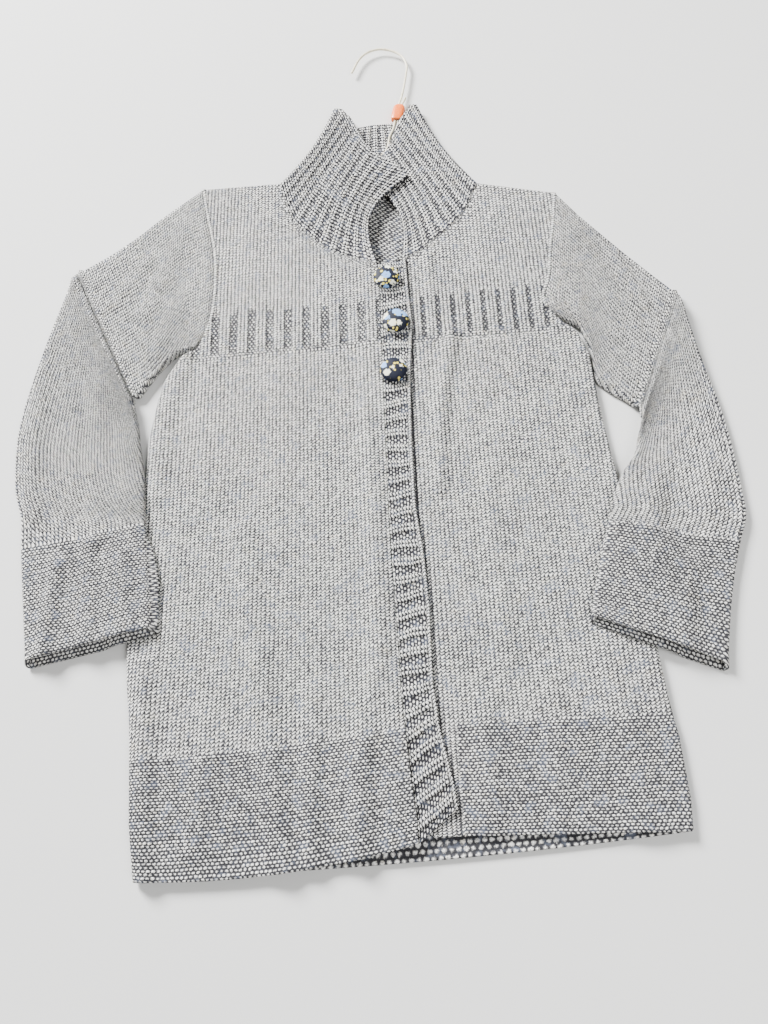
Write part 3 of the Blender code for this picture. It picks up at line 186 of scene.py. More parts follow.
# Soft folds that stand up in the cloth: the line of each one's crest, half width, height
FOLD_RISE = 1.5               # how much the folds' heights are raised
RIGHT_FRONT_FOLDS = (
    (((-118, -330), (-106, -420), (-94, -500), (-86, -575)), 17, 2.7),
    (((-20, -230), (-14, -330), (-13, -420), (-24, -470), (-35, -570)), 14, 2.3),
    (((-64, -455), (-66, -570)), 12, 1.9),
    (((-192, -430), (-187, -500), (-182, -575)), 13, 2.4),
    (((-172, -160), (-189, -215), (-192, -290)), 15, 1.9),
    (((-150, -172), (-156, -270)), 18, 1.2),
    (((-95, -170), (-90, -250)), 13, 0.9),
    (((-140, -470), (-146, -560)), 16, 1.4),
    (((-120, -30), (-112, -110)), 16, 1))
LEFT_FRONT_FOLDS = (
    (((59, -160), (47, -215), (41, -262), (40, -300)), 12, 2.6),
    (((80, -290), (77, -360), (80, -440)), 13, 1.6),
    (((44, -78), (43, -118)), 8, 1.5),
    (((150, -430), (160, -555)), 20, 1.3),
    (((62, -470), (58, -550)), 15, 1.4),
    (((120, -175), (128, -260)), 16, 1),
    (((110, -450), (104, -552)), 14, 1))
RIGHT_SLEEVE_FOLDS = (
    (((-270, -345), (-272, -420)), 12, 2.6),
    (((-243, -330), (-240, -415)), 12, 2.4),
    (((-303, -165), (-304, -235), (-296, -300)), 14, 2.3),
    (((-252, -185), (-246, -250), (-238, -325)), 17, 2),
    (((-180, -22), (-214, -115)), 14, 1.2),
    (((-212, -52), (-246, -100)), 13, 1.3),
    (((-176, -95), (-205, -160)), 12, 1),
    (((-212, -345), (-206, -400)), 11, 1.2))
LEFT_SLEEVE_FOLDS = (
    (((240, -190), (249, -260), (246, -335)), 16, 1.6),
    (((216, -285), (196, -345)), 14, 1.3),
    (((176, -60), (198, -150)), 13, 1.2),
    (((205, -95), (222, -150)), 12, 1.2),
    (((222, -375), (206, -430)), 13, 1.1))
HEM_CREASE = (-37, -481, 1.6)      # x, y of its top, height

BUTTON_PLACES = ((6, -101), (12, -147), (8, -195))
BUTTON_SEAT = 0.3             # gap between a button and the band
BUTTON_PROFILE = (
    (0, 0), (8.2, 0), (10.4, 0.5), (11.3, 1.6), (11.5, 2.6), (11, 3.9), (9.6, 5), (7.2, 5.8), (4, 6.3),
    (0, 6.5))

WIRE = 2.3                    # thickness
WIRE_Z = 4.95                 # height of its middle
HOOK_ROUTE = (
    (-19.4, 164.4), (-11.7, 181.4), (-2.8, 190.4), (10, 193.4), (23, 188.6), (32.5, 179.5), (36.7, 166),
    (35.4, 153.4), (31.8, 133.6), (28.9, 121), (26, 112), (23.8, 102.4), (21.6, 92.7), (19.6, 82.5),
    (15.4, 72), (13.2, 60), (9, 51.5), (0, 46.5), (-30, 38), (-60, 26), (-90, 12), (-120, 2),
    (-148, -8))
ARM_ROUTE = (
    (33.2, 121.5), (31, 116.5), (28.6, 111.4), (26.4, 101.8), (24.2, 92.1), (27.5, 80), (38, 60),
    (57, 35), (82, 6), (110, -18), (146, -34))
CLIP_FOOT = (22.9, 92.4)
CLIP_HEAD = (27.3, 111.7)
CLIP_HALF = (6, 3.8)          # half width and half depth
CLIP_BORE_HALF = (2.85, 1.5)
CLIP_SECTIONS = (
    (0, 0.8), (0.04, 0.9), (0.12, 0.96), (0.3, 0.99), (0.5, 1), (0.7, 0.99), (0.8, 0.97), (0.88, 0.9),
    (0.93, 0.8), (0.97, 0.7), (1, 0.62))

# Wool: its colour on a stitch and the painted shade in a gap, and the hairs mixed into it: scale,
# detail and roughness of their noise, step from and to, strength, colour
WOOL_LIGHT = (1.0, 0.99, 0.95)
WOOL_GAP_SHADE = (0.045, 0.045, 0.05)
# Painted shade in the gaps and grooves of the ribbed knit
RIB_GAP_SHADE = (0.03, 0.03, 0.035)
CREAM_HAIRS = (150.0, 3.0, 0.6, 0.54, 0.7, 0.45, (0.95, 0.86, 0.66))
BLUE_HAIRS = (110.0, 3.0, 0.65, 0.52, 0.7, 0.4, (0.20, 0.23, 0.31))
DARK_HAIRS = (700.0, 1.0, 0.5, 0.58, 0.68, 0.5, (0.05, 0.05, 0.06))

# Studio: name, place, size and power of each light, in metres and watts
LIGHTS = (("window", (-1.9, 2.3, 1.9), 1.2, 700.0), ("fill", (1.1, -1.0, 1.6), 1.3, 48.0))
WORLD_COLOUR = (1.0, 0.99, 0.97, 1.0)
WORLD_STRENGTH = 0.38
FLOOR_REACH = 4.0
FLOOR_Z = -0.0004

# Camera of the reference view: place in the tables' millimetres, axes, focal length
CAMERA_PLACE = (37.5, -541.0, 569.8)
CAMERA_RIGHT = (0.99497, -0.03985, -0.09196)
CAMERA_UP = (0.07060, 0.93024, 0.36013)
CAMERA_BACK = (0.07117, -0.36479, 0.92836)
CAMERA_LENS = 27.04


def smooth(value, start, end):
    """Soft step from 0 at start to 1 at end."""
    share = np.clip((value - start) / (end - start), 0.0, 1.0)
    return share * share * (3.0 - 2.0 * share)


def within(value, start, end):
    """1 from start to end, with a soft step of 2 at each."""
    return smooth(value, start - 1.0, start + 1.0) * (1.0 - smooth(value, end - 1.0, end + 1.0))


def body_height(y):
    """Height of the two layers of the body, lower towards the hem."""
    return np.interp(y, (LOW_FROM_Y, FULL_FROM_Y), (LOW_HEIGHT, FULL_HEIGHT))


def along(chain, share):
    """Points at the given shares of a chain's length."""
    chain = np.asarray(chain, float)
    steps = np.linalg.norm(np.diff(chain, axis=0), axis=1)
    reach = np.concatenate(([0.0], np.cumsum(steps))) / steps.sum()
    return np.stack([np.interp(share, reach, chain[:, axis]) for axis in range(chain.shape[1])], -1)


def run_lengths(points):
    """Distance of each point of a chain from its first one, along the chain."""
    return np.concatenate(([0.0], np.cumsum(np.linalg.norm(np.diff(points, axis=0), axis=1))))


def turns(count):
    """Angles of a number of points, evenly round a circle."""
    return np.arange(count) * 2.0 * pi / count


def chain_x(chain, y):
    """X of a chain that runs steadily in Y."""
    chain = np.asarray(sorted(chain, key=lambda point: point[1]), float)
    return np.interp(y, chain[:, 1], chain[:, 0])


def chain_distance(points, chains):
    """Distance of plan points to the nearest of some chains, measured to their straight runs."""
    nearest = np.full(points.shape[:-1], np.inf)
    for chain in chains:
        corners = np.asarray(chain, float)
        for start, end in zip(corners[:-1], corners[1:]):
            run = end - start
            share = np.clip(((points - start) @ run) / (run @ run), 0.0, 1.0)
            away = points - start - share[..., None] * run
            nearest = np.minimum(nearest, np.linalg.norm(away, axis=-1))
    return nearest


def round_off(distance, radius):
    """Height share of a rounded edge: 0 on the edge and 1 from one radius inwards."""
    share = np.clip(1.0 - distance / radius, 0.0, 1.0)
    return np.sqrt(1.0 - share * share)


def knit_columns(u):
    """Relief of knitted columns, 1 on a column's back and 0 in the valleys at whole numbers."""
    return np.abs(np.sin(pi * u)) ** 0.7


def garter_relief(u, v):
    """Relief of garter stitch: rows of bumps, each row moved by half a column from the last."""
    bumps = np.abs(np.sin(pi * (u + 0.5 * np.floor(v))))
    return RIDGE_DEPTH * np.abs(np.sin(pi * v)) ** 0.8 * (0.6 + 0.4 * bumps)


def wander(points, seed):
    """Slow unevenness from -1 to 1: three crossing waves of 90 to 230 mm, turned by the seed."""
    x, y = points[..., 0], points[..., 1]
    value = np.zeros(x.shape)
    for number, length in enumerate((90.0, 140.0, 230.0)):
        turn = seed * 1.7 + number * 2.1
        value += np.sin(2.0 * pi * (x * np.cos(turn) + y * np.sin(turn)) / length + seed * number)
    return value / 3.0


def soft_folds(points, folds):
    """Height of soft folds: each one is a rounded crest that fades with the distance to its line."""
    height = np.zeros(points.shape[:-1])
    for line, half_width, rise in folds:
        height += rise * (1.0 - smooth(chain_distance(points, (line,)), 0.0, half_width))
    return height * FOLD_RISE


def grid_triangles(numbers):
    """Triangles of a grid of point numbers; those with a repeated number are left out."""
    a, b, c, d = numbers[:-1, :-1], numbers[:-1, 1:], numbers[1:, 1:], numbers[1:, :-1]
    triangles = np.concatenate([np.stack(three, -1).reshape(-1, 3)
                                for three in ((a, b, c), (a, c, d))])
    p, q, r = triangles.T
    return triangles[(p != q) & (q != r) & (r != p)]


def zip_edges(first, second, first_keys, second_keys):
    """Triangles between two rows of points, stepping along whichever row has the lower key."""
    order = np.argsort(np.concatenate((first_keys[1:], second_keys[1:])), kind="stable")
    on_first = order < len(first) - 1
    i = np.cumsum(on_first) - on_first
    j = np.cumsum(~on_first) - ~on_first
    third = np.where(on_first, first[np.minimum(i + 1, len(first) - 1)],
                     second[np.minimum(j + 1, len(second) - 1)])
    return np.column_stack((first[i], third, second[j]))


def make_face(points, rows, columns, uv, first=None, last=None, **masks):
    """One face of a wall: points by row and column, their keys, and the knit's coordinates.

    Each row runs from its first to its last column. The columns beyond them share the end point.
    """
    count = np.arange(points.shape[1])
    first = np.zeros(len(points), int) if first is None else first
    last = np.full(len(points), count[-1]) if last is None else last
    numbers = np.arange(len(points))[:, None] * len(count) + np.clip(count, first[:, None],
                                                                     last[:, None])
    return {"points": points, "numbers": numbers, "rows": rows, "columns": columns,
            "uv": uv, "masks": masks}


def make_wall(name, outer, inner, around=False):
    """A closed mesh of an outer and an inner face, joined round their edges.

    A wall that goes around has its last column joined to its first, and rims at its two ends.
    """
    shift = outer["points"].shape[0] * outer["points"].shape[1]
    sides = []
    for face, start in ((outer, 0), (inner, shift)):
        numbers = face["numbers"] + start
        keys = face["columns"]
        if around:
            numbers = np.column_stack((numbers, numbers[:, 0]))
            keys = np.append(keys, 1.0)
        sides.append((numbers, face["rows"], keys))
    triangles = [grid_triangles(numbers) for numbers, _, _ in sides]
    (fine, fine_rows, fine_keys), (plain, plain_rows, plain_keys) = sides
    for end in (0, -1):
        triangles.append(zip_edges(fine[end], plain[end], fine_keys, plain_keys))
        if not around:
            triangles.append(zip_edges(fine[:, end], plain[:, end], fine_rows, plain_rows))
    triangles = np.concatenate(triangles)
    p, q, r = triangles.T
    triangles = triangles[(p != q) & (q != r) & (r != p)]
    joined = [np.concatenate([face[part].reshape(-1, size) for face in (outer, inner)])
              for part, size in (("points", 3), ("uv", 2))]
    masks = {key: np.concatenate([np.broadcast_to(face["masks"].get(key, 0.0),
                                                  face["points"].shape[:2]).ravel()
                                  for face in (outer, inner)]) for key in outer["masks"]}
    return make_mesh(name, joined[0], triangles, joined[1], masks)


def make_mesh(name, points, triangles, uv, masks=None):
    """A mesh object from points in millimetres, without loose points and facing outwards."""
    used, triangles = np.unique(triangles, return_inverse=True)
    triangles = triangles.reshape(-1, 3)
    points = (points[used] + PLAN_SHIFT) * MM
    mesh = bpy.data.meshes.new(name)
    mesh.vertices.add(len(points))
    mesh.vertices.foreach_set("co", points.ravel())
    mesh.loops.add(triangles.size)
    mesh.loops.foreach_set("vertex_index", triangles.ravel())
    mesh.polygons.add(len(triangles))
    mesh.polygons.foreach_set("loop_start", np.arange(len(triangles)) * 3)
    mesh.update(calc_edges=True)
    mesh.uv_layers.new(name="knit").data.foreach_set("uv", uv[used][triangles.ravel()].ravel())
    for key, values in (masks or {}).items():
        layer = mesh.attributes.new(key, "FLOAT", "POINT")
        layer.data.foreach_set("value", values[used].astype(np.float32))
    mesh.validate()
    work = bmesh.new()
    work.from_mesh(mesh)
    bmesh.ops.recalc_face_normals(work, faces=work.faces)
    work.to_mesh(mesh)
    work.free()
    mesh.shade_smooth()
    piece = bpy.data.objects.new(name, mesh)
    bpy.context.collection.objects.link(piece)
    return piece


def finish_piece(piece, material, slot, *nodes):
    """Gives a piece its material and its place in the frame."""
    piece.data.materials.append(material)
    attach(piece, "root")
    if nodes:
        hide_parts(*nodes)
    return piece


def add_node(tree, kind, inputs, **settings):
    """A new shader node: each of its inputs is a number, a colour, a socket or a Value to link."""
    node = tree.nodes.new("ShaderNode" + kind)
    for key, value in settings.items():
        setattr(node, key, value)
    for key, value in inputs.items():
        socket = value.socket if isinstance(value, Value) else value
        if isinstance(socket, bpy.types.NodeSocket):
            tree.links.new(socket, node.inputs[key])
        else:
            node.inputs[key].default_value = (*value, 1.0) if isinstance(value, tuple) else value
    return node


class Value:
    """A number in a material's node tree: the usual signs add the math nodes that work it out."""

    def __init__(self, tree, socket):
        self.tree = tree
        self.socket = socket

    def math(self, operation, *others, clamp=False):
        inputs = dict(enumerate((self, *others)))
        node = add_node(self.tree, "Math", inputs, operation=operation, use_clamp=clamp)
        return Value(self.tree, node.outputs[0])

    def __add__(self, other):
        return self.math("ADD", other)

    def __sub__(self, other):
        return self.math("SUBTRACT", other)

    def __mul__(self, other):
        return self.math("MULTIPLY", other)

    def __truediv__(self, other):
        return self.math("DIVIDE", other)

    def __pow__(self, other):
        return self.math("POWER", other)

    def inverted(self):
        return self.math("MULTIPLY_ADD", -1.0, 1.0)

    def clamped(self):
        return self.math("ADD", 0.0, clamp=True)

    def tent(self):
        """1 at whole numbers, and straight down to 0 halfway between them."""
        return (self.math("FRACT") - 0.5).math("ABSOLUTE") * 2.0

    def step(self, start, end):
        """Soft step from 0 at start to 1 at end."""
        inputs = {"Value": self, "From Min": start, "From Max": end}
        node = add_node(self.tree, "MapRange", inputs, interpolation_type="SMOOTHSTEP")
        return Value(self.tree, node.outputs["Result"])


class Finish:
    """A new Principled material, with short ways to its nodes."""

    def __init__(self, name, roughness, **constants):
        self.material = bpy.data.materials.new(name)
        self.material.use_nodes = True
        self.tree = self.material.node_tree
        self.shader = self.tree.nodes["Principled BSDF"]
        self.shader.inputs["Roughness"].default_value = roughness
        for key, value in constants.items():
            self.shader.inputs[key.replace("_", " ")].default_value = value

    def uv(self):
        """The piece's own knit coordinates: columns and courses."""
        return self.split(add_node(self.tree, "UVMap", {}, uv_map="knit").outputs["UV"])[:2]

    def place(self):
        return add_node(self.tree, "TexCoord", {}).outputs["Object"]

    def split(self, vector):
        node = add_node(self.tree, "SeparateXYZ", {0: vector})
        return [Value(self.tree, output) for output in node.outputs]

    def mask(self, name):
        node = add_node(self.tree, "Attribute", {}, attribute_name=name)
        return Value(self.tree, node.outputs["Fac"]).clamped()

    def noise(self, vector, scale, detail=2.0, roughness=0.5):
        """Noise from about 0 to 1."""
        inputs = {"Vector": vector, "Scale": scale, "Detail": detail, "Roughness": roughness}
        return Value(self.tree, add_node(self.tree, "TexNoise", inputs).outputs["Fac"])

    def chance(self, first, second):
        """A random number from 0 to 1 for each pair of whole numbers."""
        cell = add_node(self.tree, "CombineXYZ", {0: first.math("FLOOR"), 1: second.math("FLOOR")})
        node = add_node(self.tree, "TexWhiteNoise", {}, noise_dimensions="2D")
        self.tree.links.new(cell.outputs[0], node.inputs["Vector"])
        return Value(self.tree, node.outputs["Value"])

    def colour(self, share, low, high):
        """Mix of two colours; each is a colour or another mix."""
        return add_node(self.tree, "Mix", {0: share, 6: low, 7: high}, data_type="RGBA").outputs[2]

    def done(self, colour, bump=None, depth=0.0):
        """Links the colour and the bump, whose full height is the depth in millimetres."""
        self.tree.links.new(colour, self.shader.inputs["Base Color"])
        if bump is not None:
            node = add_node(self.tree, "Bump", {"Distance": depth * MM, "Height": bump})
            self.tree.links.new(node.outputs["Normal"], self.shader.inputs["Normal"])
        return self.material


def make_wool(name, contrast, slope, dark):
    """Heathered wool knit: V stitches in columns, and rows of bumps where the purl mask is 1.

    The two legs of a stitch meet 0.3 across its column and climb from there to the valleys beside
    it, by the slope. Painted shade darkens the gaps between stitches and the valleys, painted light
    brightens one leg as if it were lit more than the other, and the painted shade mask darkens the
    floors of the grooves.
    """
    wool = Finish(name, 1.0, Specular_IOR_Level=0.04)
    u, v = wool.uv()
    place = wool.place()
    fluff = wool.noise(place, 800.0, 3.0, 0.7).step(0.3, 0.7)
    loose = wool.noise(place, 330.0, 2.0)
    lean = wool.noise(place, 150.0, 1.0)
    drift = wool.noise(place, 32.0, 3.0)
    # The second mask is painted shade: it darkens groove floors, valleys between garter ridges and
    # crevices
    purl, deep = wool.mask("purl"), wool.mask("deep")

    column = u + loose * 0.32 - 0.16
    from_middle = column.math("FRACT") - 0.3
    across = (from_middle / 0.7).math("MAXIMUM", from_middle / -0.3)
    leg_phase = v - across * slope + lean * 1.3
    gap = leg_phase.tent() ** 1.3
    legs = (gap * (across * 0.25 + 0.7)).inverted() * (across ** 3.0 * 0.5).inverted()

    row_phase = v + loose * 0.5
    row = row_phase.tent() ** 1.5
    side = (column + row_phase.math("FLOOR") * 0.5).tent() ** 2.0
    bumps = (row * 0.62).inverted() * (side * 0.68).inverted()
    height = legs + (bumps - legs) * purl

    odd = wool.chance(column * 2.0, leg_phase)
    # Painted light: one leg of each knit stitch is made lighter than the other, as if lit from one side
    lit_leg = from_middle.step(-0.08, 0.08) * purl.inverted()
    # Colour follows the relief, so the gaps and valleys get painted shade; the noises add random tone
    yarn = (height - 0.6) * contrast + fluff * 0.6 + odd * 0.55 + drift * 0.3 - 0.28 - deep * 0.6
    yarn = yarn + lit_leg * 0.38 - purl.inverted() * 0.15
    yarn = yarn.clamped() ** 2.3
    # Low yarn values, in the gaps and valleys, take the second colour: painted shade
    base = wool.colour(yarn, dark, WOOL_LIGHT)
    for hairs, where in ((CREAM_HAIRS, yarn), (BLUE_HAIRS, None), (DARK_HAIRS, None)):
        scale, detail, roughness, start, end, strength, hair_colour = hairs
        share = wool.noise(place, scale, detail, roughness).step(start, end) * strength
        base = wool.colour(share if where is None else share * where, base, hair_colour)
    return wool.done(base, height + fluff * 0.35, 1.3)


def fold_step(distance):
    """How far an inner face steps back at a distance from a fold, at most a wall's thickness."""
    return WALL * np.clip(1.0 - distance / (3.0 * WALL), 0.0, 1.0)


def step_inside(points, folds, across):
    """Plan points of the inner face, moved in by a wall's thickness beside folded edges.

    Where across is 1 or -1 they move along X, and where it is 0 they move down along Y.
    """
    distance = chain_distance(points, folds)
    step_back = fold_step(distance)
    moved = points.copy()
    moved[..., 0] += step_back * INNER_SLIDE * across
    moved[..., 1] -= step_back * (across == 0.0)
    return moved, distance + step_back - WALL


def lay_grid(left, right, sag, columns):
    """Plan points of courses laid from their left to their right ends.

    x is the column's place, held between the course's two ends. y runs straight from end to end,
    with the sag added as a parabola. The numbers of the end columns are given too.
    """
    first = np.abs(columns - left[:, :1]).argmin(axis=1)
    last = np.abs(columns - right[:, :1]).argmin(axis=1)
    count = np.arange(len(columns))
    x = np.broadcast_to(columns, (len(left), len(columns)))
    x = np.where(count >= last[:, None], right[:, :1], x)
    x = np.where(count <= first[:, None], left[:, :1], x)
    share = (x - left[:, :1]) / (right[:, :1] - left[:, :1])
    y = left[:, 1:] + (right[:, 1:] - left[:, 1:]) * share
    return np.stack((x, y + sag[:, None] * 4.0 * share * (1.0 - share)), -1), first, last


def band_seam_x(y):
    """X of the seam between the right front and the buttoned band."""
    rows = np.asarray(BAND_ROWS)[::-1]
    return np.interp(y, rows[:, 1], rows[:, 0])


def band_side_x(y):
    """X of the buttoned band's free side."""
    rows = np.asarray(BAND_ROWS)[::-1]
    return np.interp(y, rows[:, 3], rows[:, 2])


def front_courses(courses, neck_side_y, neck, chain, seam_x, levels):
    """Both ends and the sag of a front's fine courses, at the given middle heights in y.

    The side end slides along the side and armhole, the other along the edge and then the neck.
    """
    side_y = [row[0] for row in courses] + list(neck_side_y)
    edge_y = [row[1] for row in courses] + [point[1] for point in neck[1:]]
    sag = [row[2] for row in courses] + [0.0] * len(neck_side_y)
    middle = (np.array(side_y) + np.array(edge_y)) / 2.0
    side = np.interp(levels, middle, side_y)
    edge = np.interp(levels, middle, edge_y)
    neck_x = np.interp(edge, [point[1] for point in neck], [point[0] for point in neck])
    edge_x = np.where(edge < neck[0][1], seam_x(edge), neck_x)
    return (np.column_stack((chain_x(chain, side), side)), np.column_stack((edge_x, edge)),
            np.interp(levels, middle, sag))


def course_levels(bottom, garter_top, top):
    """Middle heights of fine courses, the knit's v, and the garter's number of ridges.

    There are four rows of points to a garter ridge, and then one to a course of plain knit.
    """
    ridges = round((garter_top - bottom) / RIDGE)
    garter = np.linspace(bottom, garter_top, ridges * 4 + 1)
    plain = np.arange(garter_top + STITCH_HEIGHT / 2.0, top - 5.0, STITCH_HEIGHT)
    levels = np.concatenate((garter, plain, top - np.array(SHOULDER_STEPS)))
    v = np.where(levels <= garter_top, (levels - bottom) / RIDGE,
                 ridges + (levels - garter_top) / STITCH_HEIGHT)
    return levels, v, ridges


def front_knit(spec, points, columns):
    """Outer face of a front: knitted columns, garter hem, yoke ribs and soft folds.

    Gives its points, knit coordinates and masks. A ridge has two rows of bumps, so the knit's v
    runs twice as fast there. The left front, whose inside is towards -X, lies beneath the band.
    """
    first_groove, column, period, groove_half = spec["yoke"]
    x, y = points[..., 0], points[..., 1]
    distance = chain_distance(points, spec["folds"])
    middle = body_height(y) / 2.0
    rim = middle + SEAM / 2.0
    height = rim + (spec["top"](points) - rim) * round_off(distance, middle)
    v = np.broadcast_to(spec["v"][:, None], height.shape)
    u = np.broadcast_to((columns - first_groove) / column, height.shape)
    u = u + spec["groove_at"]
    garter_end = spec["garter_end"]
    garter = 1.0 - smooth(v, garter_end - 0.2, garter_end + 0.2)
    lies_free, crevice_shade = 1.0, 0.0
    if spec["across"] < 0.0:
        from_band = x - band_side_x(y)
        garter = garter * smooth(x, *LEFT_GARTER_FROM_X)
        lies_free = smooth(from_band, 1.0, 9.0)
        open_part = smooth(y, -340.0, -270.0) * (1.0 - smooth(y, -190.0, -150.0))
        # Painted shade in the crevice beside the band's free side, stronger where it stands open
        crevice_shade = np.exp(-((from_band - 0.6) / 1.5) ** 2) * (0.35 + 0.65 * open_part)
    v = v + RIDGE_WANDER * wander(points * 3.5, spec["seed"]) * garter
    in_yoke = within(y, *YOKE_Y)
    phase = (u - spec["groove_at"]) / period
    from_groove = np.abs(phase - np.round(phase)) * period * column
    groove = (1.0 - smooth(from_groove, groove_half, groove_half + 1.4)) * in_yoke
    border = np.exp(-((y - YOKE_Y[0] + 1.5) / 1.6) ** 2)
    relief = knit_columns(u) * COLUMN_DEPTH * (1.0 - garter) * (1.0 - groove)
    relief += garter * (0.3 + garter_relief(u, v))
    relief += in_yoke * (0.9 - 1.1 * groove) + 0.5 * border
    relief += soft_folds(points, spec["ridges"]) * lies_free
    relief += 0.5 * wander(points, spec["seed"]) * lies_free
    relief += spec["crease"](x, y)
    height += relief * smooth(distance, 0.3, 4.0)

    neck_row = np.exp(-((chain_distance(points, (spec["courses"][2],)) - 2.2) / 1.3) ** 2)
    purl = np.clip(garter + groove + border + neck_row, 0.0, 1.0)
    # Painted shade in the yoke's grooves, between garter ridges and in the crevice beside the band
    deep = spec["groove_shade"] * groove + RIDGE_SHADE * garter * (1.0 - np.abs(np.sin(pi * v)))
    deep = deep + 2.2 * crevice_shade
    uv = np.stack((u, v + np.minimum(v, garter_end)), -1)
    return np.dstack((points, height)), uv, {"purl": purl, "deep": deep}


def front_inside(spec, points):
    """Plain inner face of a front, purl side out: its points, knit coordinates and masks."""
    rows = spec["plain_rows"]
    across = np.where(spec["levels"][rows] < SIDE_TOP_Y, spec["across"], 0.0)[:, None]
    points, distance = step_inside(points, spec["folds"], across)
    rim = body_height(points[..., 1]) / 2.0 + SEAM / 2.0
    height = rim + (spec["top"](points) - WALL - rim) * round_off(distance, INNER_ROUND)
    v = np.broadcast_to(-1.2 - 2.0 * spec["v"][rows][:, None], height.shape)
    uv = np.stack((points[..., 0] / spec["yoke"][1], v), -1)
    return np.dstack((points, height)), uv, {"purl": 1.0}


def plain_rows(levels, bottom_step):
    """Numbers of the fine courses that the plain inner face uses."""
    rows = np.arange(0, len(levels) - 7, bottom_step)
    return np.unique(np.concatenate((rows, len(levels) - np.array((7, 5, 3, 1)))))


def make_front(name, levels, material, **spec):
    """A front of the body: rounded at its side and shoulder, with yoke ribs and garter hem."""
    spec["levels"], spec["v"], spec["garter_end"] = course_levels(*levels)
    spec["plain_rows"] = plain_rows(spec["levels"], 6)
    side, edge, sag = front_courses(*spec["courses"], spec["levels"])
    first_groove, column = spec["yoke"][:2]
    faces = []
    for fine in (True, False):
        rows = np.arange(len(spec["levels"])) if fine else spec["plain_rows"]
        pitch = column / 4.0 if fine else PLAIN_PITCH
        ends = (side[rows], edge[rows])
        left, right = ends if spec["across"] > 0.0 else ends[::-1]
        start = first_groove - np.ceil((first_groove - left[:, 0].min()) / pitch + 1.0) * pitch
        columns = np.arange(start, right[:, 0].max() + pitch, pitch)
        points, first, last = lay_grid(left, right, sag[rows], columns)
        points, uv, masks = (front_knit(spec, points, columns) if fine
                             else front_inside(spec, points))
        faces.append(make_face(points, spec["v"][rows], columns, uv, first, last, **masks))
    return finish_piece(make_wall(name + "_knit", *faces), material, "wool", name)


def make_right_front(material):
    """Right front: it lies on top and climbs over the band beneath at its edge."""
    def top(points):
        from_seam = points[..., 0] - band_seam_x(points[..., 1])
        return body_height(points[..., 1]) + (WALL + LAY) * smooth(from_seam, -26.0, -10.0)

    def crease(x, y):
        crease_x, crease_y, crease_height = HEM_CREASE
        fold = smooth(x, crease_x - 1.5, crease_x)
        fold = fold * (1.0 - 0.7 * smooth(x, crease_x, crease_x + 36.0))
        return crease_height * fold * (1.0 - smooth(y, crease_y - 12.0, crease_y))

    courses = (RIGHT_FRONT_COURSES, RIGHT_FRONT_NECK_SIDE_Y, NECK_RIGHT_FRONT,
               SIDE_LEFT_X[:-1] + ARMHOLE_LEFT_X, lambda y: band_seam_x(y) - SEAM)
    return make_front("right_front", RIGHT_FRONT_LEVELS, material, courses=courses, top=top,
                      crease=crease, yoke=YOKE_RIGHT_FRONT, groove_at=0.0, groove_shade=0.4,
                      across=1.0, folds=(SIDE_LEFT_X, BACK_TOP[:2]), ridges=RIGHT_FRONT_FOLDS,
                      seed=1.0)


def make_left_front(material):
    """Left front: it lies beneath the band, with narrower grooves and soft folds."""
    courses = (LEFT_FRONT_COURSES, LEFT_FRONT_NECK_SIDE_Y, NECK_LEFT_FRONT,
               SIDE_RIGHT_X[:-1] + ARMHOLE_RIGHT_X, lambda y: np.full(len(y), LEFT_FRONT_EDGE_X))
    return make_front("left_front", LEFT_FRONT_LEVELS, material, courses=courses,
                      top=lambda points: body_height(points[..., 1]), crease=lambda x, y: 0.0,
                      yoke=YOKE_LEFT_FRONT, groove_at=0.5, groove_shade=0.7, across=-1.0,
                      folds=(SIDE_RIGHT_X, BACK_TOP[-2:]), ridges=LEFT_FRONT_FOLDS, seed=2.0)


